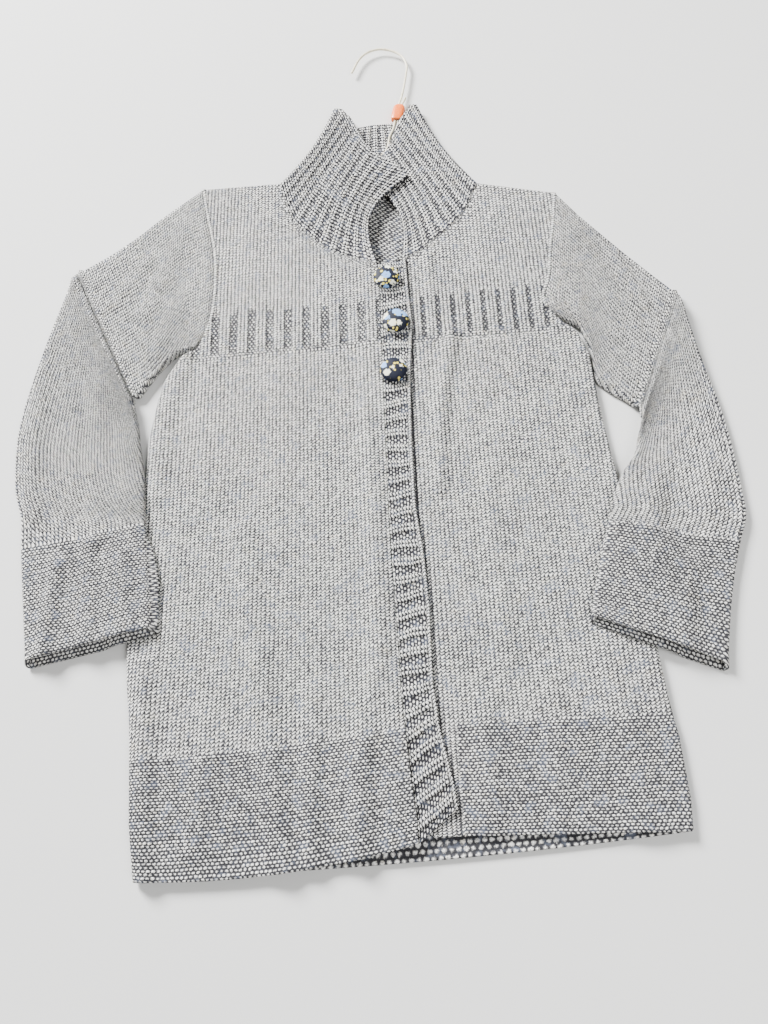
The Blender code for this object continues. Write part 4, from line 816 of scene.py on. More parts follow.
def make_back(material):
    """Back: flat on the surface, its purl side up, curling up at its sides and shoulders."""
    chains = (SIDE_LEFT_X[:-1] + ARMHOLE_LEFT_X, SIDE_RIGHT_X[:-1] + ARMHOLE_RIGHT_X)
    table = np.array(BACK_COURSES)
    middle = (table[:, 0] + table[:, 1]) / 2.0
    levels = np.concatenate((np.arange(-568.0, -548.0, 1.0), np.arange(-545.0, -95.0, 9.0),
                             np.arange(-92.0, -2.0, 1.25), middle[-1] - np.array(SHOULDER_STEPS)))
    top = np.asarray(BACK_TOP)
    folds = (SIDE_LEFT_X, SIDE_RIGHT_X, BACK_TOP[:2], BACK_TOP[-2:])
    faces = []
    for fine in (True, False):
        rows = np.arange(len(levels)) if fine else plain_rows(levels, 2)
        course = levels[rows]
        columns = np.concatenate((np.arange(-212.0, -96.0, 2.0),
                                  np.arange(-96.0, 100.0, 1.65 if fine else 8.0),
                                  np.arange(100.0, 200.0, 2.0)))
        left_y, right_y, sag, shape = [np.interp(course, middle, part) for part in table.T]
        left = np.column_stack((chain_x(chains[0], left_y), left_y))
        right = np.column_stack((chain_x(chains[1], right_y), right_y))
        points, first, last = lay_grid(left, right, sag, columns)
        share = (points[..., 0] - left[:, :1]) / (right[:, :1] - left[:, :1])
        straight = np.interp(share, (0.0, 1.0), (top[0, 1], top[-1, 1]))
        shaped = np.interp(share, (top[:, 0] - top[0, 0]) / (top[-1, 0] - top[0, 0]), top[:, 1])
        points[..., 1] += shape[:, None] * (shaped - straight)
        masks = {}
        if fine:
            across = np.where((course < SIDE_TOP_Y)[:, None], np.sign(-points[..., 0]), 0.0)
            points, distance = step_inside(points, folds, across)
            rim = body_height(points[..., 1]) / 2.0 - SEAM / 2.0
            height = rim - (rim - WALL) * round_off(distance, INNER_ROUND)
            x, y = points[..., 0], points[..., 1]
            v = (y + 0.42 * x * smooth(y, -95.0, -60.0)) / STITCH_HEIGHT
            hem = 1.0 - smooth(y, -550.0, -545.0)
            v = v * (1.0 - hem) + hem * (course[:, None] - levels[0]) / RIDGE
            shown = smooth(y, -95.0, -80.0) + hem
            height += 0.5 * np.abs(np.sin(pi * v)) * shown * smooth(distance, 1.0, 6.0)
            uv = np.stack((x / PURL_COLUMN, v), -1)
            # Painted shade, a little, over the back's whole purl face
            masks = {"purl": 1.0, "deep": 0.2}
        else:
            distance = chain_distance(points, folds)
            rim = body_height(points[..., 1]) / 2.0
            height = (rim - SEAM / 2.0) * (1.0 - round_off(distance, rim))
            uv = points / np.array((COLUMN, STITCH_HEIGHT))
        faces.append(make_face(np.dstack((points, height)), course, columns, uv, first, last,
                               **masks))
    return finish_piece(make_wall("back_knit", *faces), material, "wool", "back")


def rib_relief(phase):
    """Two knitted columns side by side, then a purl groove."""
    phase = phase % 1.0
    rise = np.interp(phase, (0.0, 0.1, 0.54, 0.64, 1.0), (0.0, 1.0, 1.0, 0.0, 0.0))
    return rise * (0.55 + 0.45 * knit_columns((phase - RIB_START) * RIB_COLUMNS))


def rib_purl(phase):
    """Purl mask of a rib: 0 on its two columns and 1 in its groove."""
    return smooth(np.abs(phase % 1.0 - RIB_MIDDLE), *RIB_HALF)


def make_top_band(material):
    """Buttoned band: short ribs run across it, and it lies on the band beneath."""
    rows = np.asarray(BAND_ROWS)
    faces = []
    for fine in (True, False):
        shares = np.linspace(0.0, 1.0, BAND_RIBS * (16 if fine else 2) + 1)
        left, right = np.split(along(rows, shares), 2, axis=1)
        across = np.array((0.0, 1.0))
        if fine:
            across = np.concatenate((np.linspace(0.0, 0.86, 24), np.linspace(0.87, 1.0, 12)))
        points = left[:, None] + (right - left)[:, None] * across[:, None]
        height = body_height(points[..., 1]) + LAY
        ribs = shares[:, None] * BAND_RIBS
        width = np.linalg.norm(right - left, axis=1)[:, None]
        if fine:
            phase = ribs + 0.09 * wander(points * 2.0, 3.0) + 0.05 * np.sin(across * 5.0 + ribs)
            from_side = (1.0 - across) * width
            chain = 1.0 - smooth(from_side, 2.6, 3.2)
            height = height + WALL * (0.45 + 0.55 * round_off(from_side, 1.6))
            height = height + (1.5 * rib_relief(phase) - 0.6) * smooth(from_side, 2.6, 4.2)
            height = height + 0.9 * np.sin(pi * np.clip(from_side / 3.0, 0.0, 1.0))
            knit = np.maximum(chain, 1.0 - rib_purl(phase))
            u = np.where(chain > 0.5, from_side / 3.0, (phase - RIB_START) * RIB_COLUMNS)
            v = np.where(chain > 0.5, run_lengths(right)[:, None], across * width) / STITCH_HEIGHT
            # Painted shade in the purl grooves between the ribs
            faces.append(make_face(np.dstack((points, height)), shares, across, np.dstack((u, v)),
                                   purl=1.0 - knit, deep=0.5 * (1.0 - knit)))
        else:
            faces.append(make_face(np.dstack((points, height)), shares, across, points / 3.0))
    piece = make_wall("right_band_knit", *faces)
    return finish_piece(piece, material, "rib_wool", "right_band")


def make_under_band(material):
    """Band of the left front, with the same ribs; it lies hidden under the buttoned band."""
    y = np.linspace(*UNDER_BAND_END_Y, BAND_RIBS * 6 + 1)
    across = np.linspace(0.0, 1.0, 8)
    left_x = (band_seam_x(y) - UNDER_BAND_WIDTH_BEYOND_SEAM)[:, None]
    x = left_x + (LEFT_FRONT_EDGE_X - SEAM - left_x) * across
    y = np.broadcast_to(y[:, None], x.shape)
    ribs = np.linspace(0.0, BAND_RIBS, len(y))[:, None]
    faces = []
    for thickness, relief in ((0.35, 0.35), (WALL, 0.0)):
        height = body_height(y) - thickness + relief * rib_relief(ribs)
        uv = np.stack((np.broadcast_to(ribs * RIB_COLUMNS, x.shape), x / STITCH_HEIGHT), -1)
        faces.append(make_face(np.dstack((x, y, height)), y[:, 0], across, uv, purl=0.0))
    piece = make_wall("left_band_knit", *faces)
    return finish_piece(piece, material, "rib_wool", "left_band")


def collar_points(stretch, share):
    """Plan points of a stretch's columns at one share of the height, with the ribs' bow."""
    place = stretch["ribs"] / stretch["count"]
    low = along(stretch["base"], place)
    high = along(stretch["top"], place)
    run = high - low
    left_of_run = np.column_stack((-run[:, 1], run[:, 0]))
    left_of_run /= np.linalg.norm(run, axis=1)[:, None]
    bow = np.interp(stretch["ribs"], *np.transpose(stretch["bow"]))
    return low + run * share + left_of_run * (bow * np.sin(pi * share))[:, None]


def slide_from_fold(points, folds):
    """Inner points of a collar row, moved along the row so that a wall fits inside each fold."""
    distance = chain_distance(points, folds)
    step_back = fold_step(distance)
    reach = run_lengths(points)
    from_start = (reach < reach[-1] / 2.0) & (distance[0] < 0.1)
    moved = reach + np.where(from_start, INNER_SLIDE, -INNER_SLIDE) * step_back
    points = np.stack([np.interp(moved, reach, points[:, axis]) for axis in (0, 1)], -1)
    return points, distance + step_back - WALL


def collar_part(stretch, share, folds, is_outer):
    """Part of a collar's row in one stretch: points, knit coordinates, purl mask and key."""
    ribs, count, number = stretch["ribs"], stretch["count"], stretch["number"]
    points = collar_points(stretch, share)
    distance = chain_distance(points, folds)
    phase = ribs + 0.04 * wander(points, 5.0)
    shows = is_outer == (number != 1)
    relief = (COLLAR_RIB * rib_relief(phase) - COLLAR_RIB + 1.1) * smooth(distance, 1.5, 8.0)
    bound = np.exp(-((1.0 - share) / 0.022) ** 2)
    if number == 2:
        bound = np.maximum(bound, 1.0 - smooth(count - ribs, 0.15, 0.4))
    bound = 0.9 * bound * shows
    relief = np.maximum(relief * shows, bound)
    middle = radius = FULL_HEIGHT / 2.0
    if not is_outer:
        points, distance = slide_from_fold(points, folds)
        radius = middle - WALL
    level = stretch["level"](ribs, share, points)
    if not is_outer:
        level = level - np.sign(level - middle) * WALL
    height = middle + (level - middle) * round_off(distance, radius) + relief
    # Two knit columns fill each rib, and the purl ones crowd into its groove
    rib_number, from_groove = np.divmod(phase - (RIB_MIDDLE + 0.5), 1.0)
    u = rib_number * RIB_COLUMNS + 1.0 + (from_groove - 0.5) * COLLAR_RIB_SPREAD
    run = along(stretch["top"], ribs / count) - along(stretch["base"], ribs / count)
    v = share * np.linalg.norm(run, axis=1) / COLLAR_STITCH_HEIGHT
    purl = rib_purl(phase) * (bound < 0.2)
    return np.column_stack((points, height, u, v, purl, (number + ribs / count) / 3.0))


def make_collar(material):
    """Ribbed collar: one wall from the left front's end, round the back, to the right front's."""
    def widened(chain):
        chain = np.asarray(chain, float)
        inwards = np.asarray(NECK_MIDDLE) - chain
        return chain + inwards / np.linalg.norm(inwards, axis=1)[:, None] * COLLAR_GAP

    def left_level(ribs, share, points):
        return np.full(len(ribs), FULL_HEIGHT)

    def back_level(ribs, share, points):
        return np.zeros(len(ribs))

    def right_level(ribs, share, points):
        overlap = smooth(ribs, 3.2, 6.0) * smooth(share, 0.08, 0.45)
        over_collar = overlap * (COLLAR_RAISE + WALL + LAY)
        over_band = (WALL + LAY) * smooth(points[:, 0], -26.0, -10.0)
        return FULL_HEIGHT + np.maximum(over_collar, over_band)

    back_base = np.asarray(BACK_TOP[1:-1], float)[::-1] + np.array((0.0, COLLAR_GAP))
    left_base = widened((COLLAR_START,) + NECK_LEFT_FRONT[1:])
    right_base = widened(NECK_RIGHT_FRONT[:0:-1] + (COLLAR_END,))
    back_base[0] = left_base[-1]
    back_base[-1] = right_base[0]
    tables = ((left_base, COLLAR_TOP_LEFT_FRONT, COLLAR_BOW_LEFT_FRONT, 10, left_level),
              (back_base, COLLAR_TOP_BACK, COLLAR_BOW_BACK, 15, back_level),
              (right_base, COLLAR_TOP_RIGHT_FRONT, COLLAR_BOW_RIGHT_FRONT, 12, right_level))
    faces = []
    for is_outer in (True, False):
        heights = np.linspace(0.0, 1.0, 56 if is_outer else 29)
        stretches = []
        for number, (base, top, bow, count, level) in enumerate(tables):
            steps = 16 if is_outer or number == 1 else 4
            stretches.append({"number": number, "base": base, "top": top, "bow": bow, "count": count,
                              "level": level, "ribs": np.linspace(0.0, count, count * steps + 1)})
        edges = [collar_points(stretches[1], share) for share in np.linspace(0.0, 1.0, 15)]
        folds = [[row[end] for row in edges] for end in (0, -1)]
        rows = []
        for share in heights:
            left, behind, right = [collar_part(stretch, share, folds, is_outer)
                                   for stretch in stretches]
            rows.append(np.concatenate((left[:-1], behind, right[1:])))
        rows = np.stack(rows)
        # Painted shade in the collar's purl grooves
        faces.append(make_face(rows[..., :3], heights, rows[0, :, 6], rows[..., 3:5],
                               purl=rows[..., 5], deep=0.65 * rows[..., 5]))
    return finish_piece(make_wall("collar_knit", *faces), material, "rib_wool", "collar")


def eased(reach, values, width):
    """Values at one-millimetre steps along a path, smoothed over an odd width, both ends kept."""
    steps = np.linspace(0.0, reach[-1], int(reach[-1]) + 1)
    table = np.stack([np.interp(steps, reach, column) for column in values.T], -1)
    window = np.hanning(width + 2)[1:-1]
    window /= window.sum()
    padded = np.pad(table, ((width // 2, width // 2), (0, 0)), "reflect", reflect_type="odd")
    return steps, np.stack([np.convolve(column, window, "valid") for column in padded.T], -1)


def sleeve_rows(rings, fine):
    """Rings of a sleeve, one after the other, from the armhole to the cuff.

    A row holds both ends, both rises, the seam's share, how far the upper and the under cloth lie
    beyond the ring, 1 in the garter stitch, and the height of a stitch.
    """
    table = np.asarray(rings)
    middle = (table[:, 0:2] + table[:, 2:4]) / 2.0
    spacing = 2.5 if fine else 14.0
    rows = []

    def add(values, seam=0.0, upper=0.0, under=0.0, rise=1.0, garter=0.0, step=STITCH_HEIGHT):
        rows.append((*values[:4], values[4] * rise, values[5] * rise, seam, upper, under,
                     garter, step))

    reach = run_lengths(middle[:FOLD_RING])
    steps, upper_arm = eased(reach, table[:FOLD_RING], 21)
    for share in np.arange(0.0, 1.0, spacing / 8.0):
        add(table[0], seam=1.0 - share)
    for place in np.arange(0.0, reach[-1] - 4.0, spacing):
        add([np.interp(place, steps, column) for column in upper_arm.T])
    fold = table[FOLD_RING]
    if fine:
        for number, (beyond, rise) in enumerate(ELBOW_FOLD):
            spread = -6.0 + 9.6 * number / (len(ELBOW_FOLD) - 1)
            add(fold, upper=beyond, under=spread, rise=rise)
    else:
        add(fold, upper=-4.0, under=-4.0, rise=0.0)
        add(fold, upper=4.0, under=3.0, rise=0.0)
    reach = run_lengths(middle[FOLD_RING + 1:])
    steps, forearm = eased(reach, table[FOLD_RING + 1:], 25)
    cuff = reach[GARTER_RING - FOLD_RING - 1]
    ridges = round((reach[-1] - cuff) / RIDGE)
    places = np.concatenate((np.arange(1.0, cuff - spacing / 2.0, spacing),
                             np.linspace(cuff, reach[-1], (ridges * 4 if fine else 6) + 1)))
    for place in places:
        garter = float(place > cuff - 0.1)
        values = [np.interp(place, steps, column) for column in forearm.T]
        below = 6.0 * float(smooth(place, reach[-1] - 12.0, reach[-1]))
        add(values, garter=garter, under=below, step=RIDGE if garter else STITCH_HEIGHT)
    return np.array(rows)


def sleeve_width(sleeve, rows):
    """Width of each ring; at the armhole it is the length of the seam."""
    at_seam = rows[:, 6:7]
    width = np.linalg.norm(rows[:, 2:4] - rows[:, 0:2], axis=1)[:, None]
    return width * (1.0 - at_seam) + run_lengths(sleeve["seam"])[-1] * at_seam


def lay_sleeve(sleeve, rows, distance, level):
    """Points on a sleeve's rings, at distances from their outer ends.

    The level is 0 on the underside and 1 on the upper face. Both climb where they lie over the
    body, and the upper face stands up by the rings' rises.
    """
    share = np.clip(distance / sleeve_width(sleeve, rows), -0.2, 1.2)
    line = rows[:, None, 0:2] + (rows[:, None, 2:4] - rows[:, None, 0:2]) * share[..., None]
    seam = along(sleeve["seam"], np.clip(share, 0.0, 1.0))
    line = line + (seam - line) * rows[:, 6:7][..., None]
    fold, after = [np.asarray(sleeve["rings"][FOLD_RING + step]) for step in (0, 2)]
    ahead_out, ahead_in = [run / np.linalg.norm(run)
                           for run in (after[:2] - fold[:2], after[2:4] - fold[2:4])]
    ahead = ahead_out + (ahead_in - ahead_out) * share[..., None]
    beyond = rows[:, 8:9] + (rows[:, 7:8] - rows[:, 8:9]) * level
    points = line + ahead * beyond[..., None]
    x, y = points[..., 0], points[..., 1]
    outside = (x - chain_x(sleeve["side"], y)) * -sleeve["toward_body"]
    rest = (body_height(y) + LIFT_CLEAR) * (1.0 - smooth(y, *sleeve["lift_y"]))
    under = rest * (1.0 - smooth(outside, 7.0, 20.0))
    over = rest * (1.0 - smooth(outside, 9.0, 42.0))
    rises = rows[:, 4:5] + (rows[:, 5:6] - rows[:, 4:5]) * np.clip(share, 0.0, 1.0)
    top = body_height(y) + over + rises
    return np.dstack((points, under + (top - under) * level))


def sleeve_rounds(rows, width, radius, bulge, ledges, fine):
    """Half rounds at the outer and the inner ends of the rings: distances and levels."""
    thickness = 0.0 if fine else WALL
    angles = np.radians(np.linspace(-90.0, 90.0, 9 if fine else 5))[1:-1][None, :]
    rounds = []
    for end, run in ((0, angles), (1, angles[:, ::-1])):
        tall, wide = radius[:, end:end + 1], bulge[:, end:end + 1]
        inset = wide - np.maximum(wide - thickness, 0.3) * np.cos(run)
        beyond = ledges[end] * smooth(-np.degrees(run), -20.0, 15.0)
        distance = inset - beyond if end == 0 else width - inset + beyond
        rounds.append((distance, 0.5 + 0.5 * np.maximum(tall - thickness, 0.2) / tall * np.sin(run)))
    return rounds


def sleeve_face(sleeve, fine, cuff_v):
    """One face of a sleeve's wall, all the way round it, and the knit's v at its cuff.

    It runs over the outer round, the upper face, the inner round and back along the underside.
    The upper face has its columns at fixed distances from the outer end.
    """
    rows = sleeve_rows(sleeve["rings"], fine)
    width = sleeve_width(sleeve, rows)
    zero = np.zeros((len(rows), 1))
    rims = [np.concatenate([lay_sleeve(sleeve, rows, place, zero + level) for place in (zero, width)],
                           axis=1)[..., 2] for level in (0.0, 1.0)]
    radius = (rims[1] - rims[0]) / 2.0
    bulge = np.minimum(radius, FULL_HEIGHT / 2.0)
    ledges = [np.interp(rows[:, 1 + 2 * end], *sleeve["ledges"][end])[:, None] for end in (0, 1)]
    rounds = sleeve_rounds(rows, width, radius, bulge, ledges, fine)

    columns = np.arange(0.0, width.max(), COLUMN / 4.0 if fine else PLAIN_PITCH)[None, :]
    low, high = bulge[:, :1], width - bulge[:, 1:]
    first = np.abs(columns - low).argmin(axis=1)[:, None]
    last = np.abs(columns - high).argmin(axis=1)[:, None]
    count = np.arange(columns.size)
    distance = np.broadcast_to(columns, (len(rows), columns.size))
    distance = np.where(count >= last, high, distance)
    distance = np.where(count <= first, low, distance)
    start, stop = low - ledges[0], high + ledges[1]
    under_share = np.linspace(1.0, 0.0, 24 if fine else 12)[None, :]
    under_distance = start + (stop - start) * under_share
    upper = lay_sleeve(sleeve, rows, distance, np.ones_like(distance))
    lower = lay_sleeve(sleeve, rows, under_distance, np.zeros_like(under_distance))

    line = upper[:, upper.shape[1] // 3, :2]
    stitches = np.concatenate(([0.0], np.linalg.norm(np.diff(line, axis=0), axis=1))) / rows[:, 10]
    v = np.broadcast_to(np.cumsum(stitches)[:, None], distance.shape)
    u = np.broadcast_to(columns / COLUMN, distance.shape)
    deep = 0.0
    purl = 1.0
    if fine:
        garter = purl = rows[:, 9:10]
        ridge = np.cumsum(garter, axis=0) / 4.0 + RIDGE_WANDER * wander(upper * 3.5, 6.0)
        v = np.where(garter > 0.5, v[garter[:, 0] < 0.5].max() + 2.0 * ridge, v)
        cuff_v = v[-1].mean()
        # Painted shade in the valleys between the cuff's garter ridges
        deep = RIDGE_SHADE * garter * (1.0 - np.abs(np.sin(pi * ridge)))
        relief = COLUMN_DEPTH * knit_columns(u) * (1.0 - garter)
        relief = relief + garter * garter_relief(u, ridge)
        relief = relief + 0.5 * wander(upper, 4.0 + sleeve["toward_body"])
        relief = relief + soft_folds(upper[..., :2], sleeve["folds"])
        inside = np.minimum(distance - low, high - distance)
        upper[..., 2] += relief * smooth(inside, -0.5, 4.0)
    else:
        upper[..., 2] -= WALL
        lower[..., 2] += WALL
        v = cuff_v + 1.2 + 2.0 * (v[-1] - v)

    sides = [lay_sleeve(sleeve, rows, place, level) for place, level in rounds]
    points = np.concatenate((sides[0], upper, sides[1], lower), axis=1)
    offset = sides[0].shape[1]
    top_part = slice(offset, offset + columns.size)
    keys = np.concatenate((np.linspace(0.02, 0.08, offset), 0.1 + 0.4 * columns[0] / width.max(),
                           np.linspace(0.52, 0.58, offset), 0.6 + 0.38 * (1.0 - under_share[0])))
    near = np.linspace(-1.5, 0.0, offset + 1)[:-1] + low / COLUMN
    far = np.linspace(0.0, 1.0, offset + 1)[1:] * (1.5 + ledges[1] / COLUMN) + high / COLUMN
    u_all = np.concatenate((near, u, far, under_distance / COLUMN), 1)
    v_all = np.concatenate([np.broadcast_to(v[:, part], (len(rows), size)) for part, size in (
        (slice(0, 1), offset), (slice(None), columns.size), (slice(-1, None), offset),
        (slice(0, 1), under_share.size))], 1)
    painted_shade_all = np.zeros(u_all.shape)
    painted_shade_all[:, top_part] = deep
    face = make_face(points, np.arange(len(rows)) / (len(rows) - 1.0), keys,
                     np.stack((u_all, v_all), -1), purl=purl, deep=painted_shade_all)
    face["numbers"][:, top_part] = (np.arange(len(rows))[:, None] * points.shape[1] + offset
                                    + np.clip(count, first, last))
    return face, cuff_v


def make_sleeve(name, material, sleeve):
    """A flattened sleeve: its rings fan round the elbow, where the forearm folds over."""
    gap = np.array((-sleeve["toward_body"] * SLEEVE_GAP, 0.2))
    sleeve["seam"] = np.asarray(sleeve["armhole"][::-1], float) + gap
    outer, cuff_v = sleeve_face(sleeve, True, 0.0)
    inner, _ = sleeve_face(sleeve, False, cuff_v)
    piece = make_wall(name + "_knit", outer, inner, around=True)
    return finish_piece(piece, material, "wool", name)


def make_cord(name, path, half_width, half_height, sides=14):
    """A round or flattened cord: an ellipse carried along a path of points, with rounded ends."""
    path = np.asarray(path, float)
    ahead = np.gradient(path[:, :2], axis=0)
    ahead /= np.linalg.norm(ahead, axis=1)[:, None]
    caps = np.radians((0.0, 25.0, 50.0, 75.0))
    full = np.concatenate((np.repeat(path[:1], 4, 0), path, np.repeat(path[-1:], 4, 0)))
    full[:4, :2] -= ahead[0] * half_width * np.cos(caps)[:, None]
    full[-4:, :2] += ahead[-1] * half_width * np.cos(caps[::-1])[:, None]
    size = np.concatenate((np.sin(caps), np.ones(len(path)), np.sin(caps[::-1])))[:, None]
    run = np.concatenate((np.repeat(ahead[:1], 4, 0), ahead, np.repeat(ahead[-1:], 4, 0)))
    turn = turns(sides)
    across = size * half_width * np.cos(turn)
    points = np.dstack((full[:, :1] - run[:, 1:] * across, full[:, 1:2] + run[:, :1] * across,
                        full[:, 2:] + size * half_height * np.sin(turn)))
    return close_rings(name, points)


def close_rings(name, points):
    """A closed surface from rings whose first and last have shrunk to a point."""
    rings, sides = points.shape[:2]
    numbers = np.arange(rings)[:, None] * sides + np.append(np.arange(sides), 0)
    numbers[0] = 0
    numbers[-1] = (rings - 1) * sides
    u = np.arange(sides) * 2.0 / sides
    v = run_lengths(points[:, 0])[:, None] / STITCH_HEIGHT
    uv = np.dstack([np.broadcast_to(part, (rings, sides)) for part in (u, v)])
    return make_mesh(name, points.reshape(-1, 3), grid_triangles(numbers), uv.reshape(-1, 2))


def make_seam(name, material, line, shoulder):
    """A knitted cord that covers a seam on the body's upper face and rolls over the shoulder."""
    path = smooth_route(line, 1.2)
    path = path + 0.25 * wander(path * 5.0, 8.0)[:, None]
    rim = FULL_HEIGHT / 2.0
    height = body_height(path[:, 1]) + 0.35 - rim
    height = rim + height * round_off(chain_distance(path, (shoulder,)), rim)
    piece = make_cord(name, np.column_stack((path, height)), 1.6, 0.95)
    return finish_piece(piece, material, "wool")


def smooth_route(route, step):
    """Points a given step apart on the smooth curve through a route's own points."""
    route = np.asarray(route, float)
    padded = np.vstack((2 * route[0] - route[1], route, 2 * route[-1] - route[-2]))
    points = []
    for k in range(len(route) - 1):
        p0, p1, p2, p3 = padded[k:k + 4]
        t = np.linspace(0.0, 1.0, 12, endpoint=False)[:, None]
        points.append(0.5 * (2 * p1 + (p2 - p0) * t + (2 * p0 - 5 * p1 + 4 * p2 - p3) * t ** 2
                             + (3 * p1 - p0 - 3 * p2 + p3) * t ** 3))
    fine = np.vstack(points + [route[-1:]])
    length = np.linalg.norm(np.diff(fine, axis=0), axis=1).sum()
    return along(fine, np.linspace(0.0, 1.0, int(length / step) + 1))


def make_button(name, material, place):
    """A cloth-covered button: a turned dome, its cloth puckered a little round the rim."""
    x, y = place
    base = float(body_height(y)) + LAY + WALL + BAND_RAISE + BUTTON_SEAT
    profile = smooth_route(BUTTON_PROFILE[1:], 0.5)
    profile = np.vstack(((0.0, 0.0), (4.0, 0.0), profile))
    turn = turns(72)
    pucker = 1.0 - 0.012 * smooth(profile[:, :1], 8.0, 11.0) * (1.0 + np.cos(turn * 18.0))
    radius = profile[:, :1] * pucker
    points = np.dstack((x + radius * np.cos(turn), y + radius * np.sin(turn),
                        np.broadcast_to(base + profile[:, 1:], radius.shape)))
    piece = close_rings(name + "_cover", points)
    return finish_piece(piece, material, "print_cloth", name)


def make_clip(material):
    """Moulded size clip round both strands: a rounded block with a slot along its length."""
    foot = np.asarray(CLIP_FOOT)
    run = np.asarray(CLIP_HEAD) - foot
    across = np.array((run[1], -run[0])) / np.linalg.norm(run)
    turn = turns(48)
    nests = []
    for (half_width, half_depth), power in ((CLIP_HALF, 0.7), (CLIP_BORE_HALF, 0.5)):
        rows = []
        for share, full in CLIP_SECTIONS:
            grow = full if half_width == CLIP_HALF[0] else 1.0
            side = half_width * grow * np.sign(np.cos(turn)) * np.abs(np.cos(turn)) ** power
            rise = half_depth * grow * np.sign(np.sin(turn)) * np.abs(np.sin(turn)) ** power
            plan = foot + run * share + across * side[:, None]
            rows.append(np.column_stack((plan, WIRE_Z + rise)))
        rows = np.stack(rows)
        nests.append(make_face(rows, np.arange(len(rows)) / (len(rows) - 1.0), turn / (2.0 * pi),
                               np.zeros((*rows.shape[:2], 2))))
    piece = make_wall("hanger_clip_moulding", *nests, around=True)
    return finish_piece(piece, material, "clip_plastic", "hanger_clip")


def make_print_cloth():
    """Very dark blue cotton with scattered flowers of light blue and cream, and yellow leaves."""
    cloth = Finish("flowered_cloth", 0.6, Specular_IOR_Level=0.2)
    place = cloth.place()
    shade = cloth.noise(place, 480.0, 2.0)

    def motifs(scale, start, end):
        inputs = {"Vector": place, "Scale": scale, "Randomness": 0.9}
        cells = add_node(cloth.tree, "TexVoronoi", inputs)
        away = Value(cloth.tree, cells.outputs["Distance"]) + shade * 0.5 - 0.25
        return away.step(start, end).inverted(), cloth.split(cells.outputs["Color"])[0], away

    petals, pick, away = motifs(135.0, 0.47, 0.51)
    leaves, leaf_pick, _ = motifs(310.0, 0.34, 0.38)
    heart = away.step(0.08, 0.11).inverted()
    petal = cloth.colour(pick.step(0.5, 0.55), (0.20, 0.38, 0.72), (0.80, 0.80, 0.66))
    leaf = leaves * leaf_pick.step(0.5, 0.52)
    colour = cloth.colour(leaf, (0.004, 0.006, 0.016), (0.72, 0.60, 0.10))
    colour = cloth.colour(petals * pick.step(0.12, 0.14), colour, petal)
    colour = cloth.colour(heart * petals, colour, (0.05, 0.06, 0.14))
    weave = cloth.noise(place, 3500.0, 1.0)
    return cloth.done(colour, weave, 0.05)


def make_coated_wire():
    """Ivory vinyl over steel wire, a little dirty."""
    wire = Finish("ivory_coated_wire", 0.38, Specular_IOR_Level=0.5)
    dirt = wire.noise(wire.place(), 180.0, 3.0).step(0.5, 0.75)
    return wire.done(wire.colour(dirt, (0.78, 0.72, 0.55), (0.55, 0.48, 0.34)),
                     wire.noise(wire.place(), 900.0, 2.0), 0.03)


def make_clip_plastic():
    """Glossy orange moulded plastic with fine scuffs."""
    clip = Finish("orange_plastic", 0.32, Specular_IOR_Level=0.5)
    scuff = clip.noise(clip.place(), 600.0, 3.0).step(0.55, 0.7)
    return clip.done(clip.colour(scuff, (0.86, 0.16, 0.02), (0.90, 0.26, 0.07)),
                     clip.noise(clip.place(), 400.0, 2.0), 0.04)


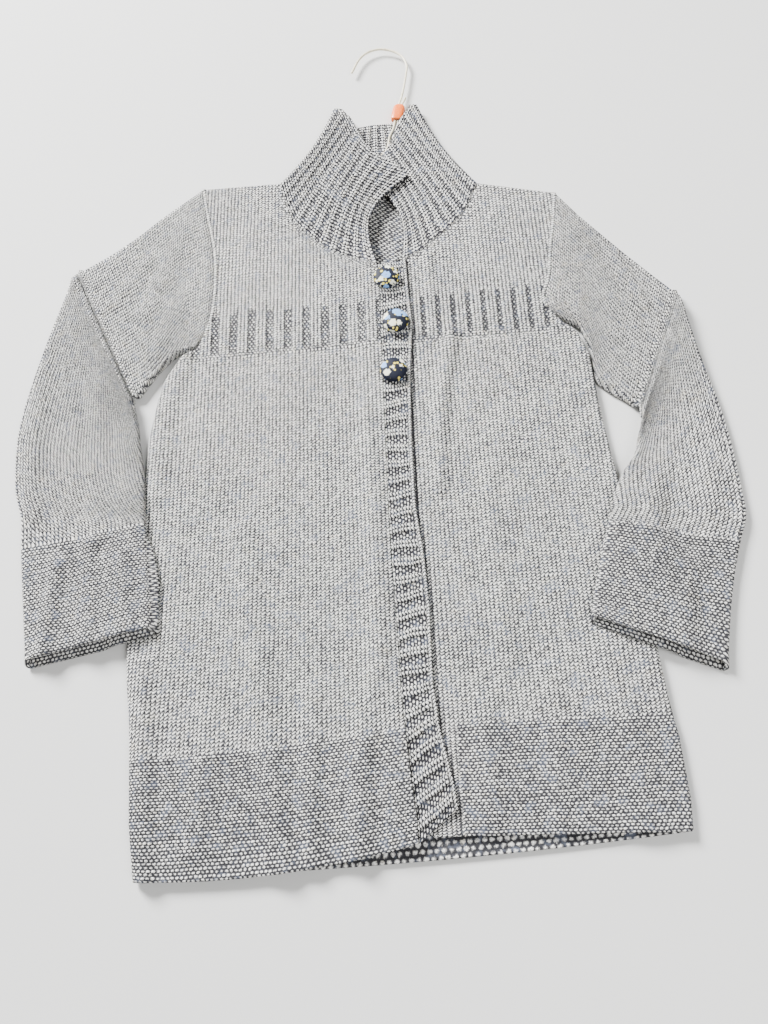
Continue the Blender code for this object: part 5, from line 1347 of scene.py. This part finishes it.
def set_stage():
    """Pale plain floor, soft studio lights and the camera of the reference view."""
    mesh = bpy.data.meshes.new("floor")
    mesh.from_pydata([(x * FLOOR_REACH, y * FLOOR_REACH, FLOOR_Z)
                      for x, y in ((-1, -1), (1, -1), (1, 1), (-1, 1))], [], [(0, 1, 2, 3)])
    floor = bpy.data.objects.new("floor", mesh)
    bpy.context.collection.objects.link(floor)
    paper = Finish("pale_floor", 0.9)
    tone = paper.noise(paper.place(), 3.0, 3.0)
    mesh.materials.append(paper.done(paper.colour(tone, (0.60, 0.60, 0.59), (0.63, 0.63, 0.62))))
    world = bpy.data.worlds.new("studio")
    world.use_nodes = True
    background = world.node_tree.nodes["Background"]
    background.inputs["Color"].default_value = WORLD_COLOUR
    background.inputs["Strength"].default_value = WORLD_STRENGTH
    bpy.context.scene.world = world
    for name, place, size, power in LIGHTS:
        light = bpy.data.lights.new(name, "AREA")
        light.shape = "SQUARE"
        light.size = size
        light.energy = power
        lamp = bpy.data.objects.new(name, light)
        lamp.location = place
        lamp.rotation_euler = (-Vector(place)).to_track_quat("-Z", "Y").to_euler()
        bpy.context.collection.objects.link(lamp)
    data = bpy.data.cameras.new("camera")
    data.lens = CAMERA_LENS
    data.sensor_width = 36.0
    data.clip_start = 0.01
    camera = bpy.data.objects.new("camera", data)
    axes = Matrix((CAMERA_RIGHT, CAMERA_UP, CAMERA_BACK)).transposed()
    camera.matrix_world = axes.to_4x4()
    camera.location = [(place + shift) * MM for place, shift in zip(CAMERA_PLACE, PLAN_SHIFT)]
    bpy.context.collection.objects.link(camera)
    bpy.context.scene.camera = camera


set_stage()
wool = make_wool("grey_wool", 2.2, 0.75, WOOL_GAP_SHADE)
rib_wool = make_wool("grey_rib_wool", 2.8, 0.5, RIB_GAP_SHADE)
print_cloth = make_print_cloth()
coated_wire = make_coated_wire()

back = make_back(wool)
left_front = make_left_front(wool)
right_front = make_right_front(wool)
left_band = make_under_band(rib_wool)
right_band = make_top_band(rib_wool)
collar = make_collar(rib_wool)
right_sleeve = make_sleeve("right_sleeve", wool, {
    "rings": RIGHT_SLEEVE_RINGS, "ledges": RIGHT_SLEEVE_LEDGES, "folds": RIGHT_SLEEVE_FOLDS,
    "armhole": ARMHOLE_LEFT_X, "side": SIDE_LEFT_X, "toward_body": 1.0, "lift_y": (-250.0, -218.0)})
left_sleeve = make_sleeve("left_sleeve", wool, {
    "rings": LEFT_SLEEVE_RINGS, "ledges": LEFT_SLEEVE_LEDGES, "folds": LEFT_SLEEVE_FOLDS,
    "armhole": ARMHOLE_RIGHT_X, "side": SIDE_RIGHT_X, "toward_body": -1.0, "lift_y": (-292.0, -268.0)})
for name, line, shoulder in (
        ("right_armhole_seam", ARMHOLE_LEFT_X[1:], ((-200.0, 29.0), (-93.0, 26.0))),
        ("left_armhole_seam", ARMHOLE_RIGHT_X[1:], ((95.5, 2.0), (190.0, -26.0)))):
    make_seam(name, wool, line, shoulder)
for number, place in enumerate(BUTTON_PLACES, start=1):
    make_button(f"button_{number}", print_cloth, place)
for name, route in (("hanger_hook_wire", HOOK_ROUTE), ("hanger_arm_wire", ARM_ROUTE)):
    plan = smooth_route(route, 1.5)
    path = np.column_stack((plan, np.full(len(plan), WIRE_Z)))
    strand = make_cord(name + "_strand", path, WIRE / 2.0, WIRE / 2.0)
    finish_piece(strand, coated_wire, "coated_wire", name)
make_clip(make_clip_plastic())
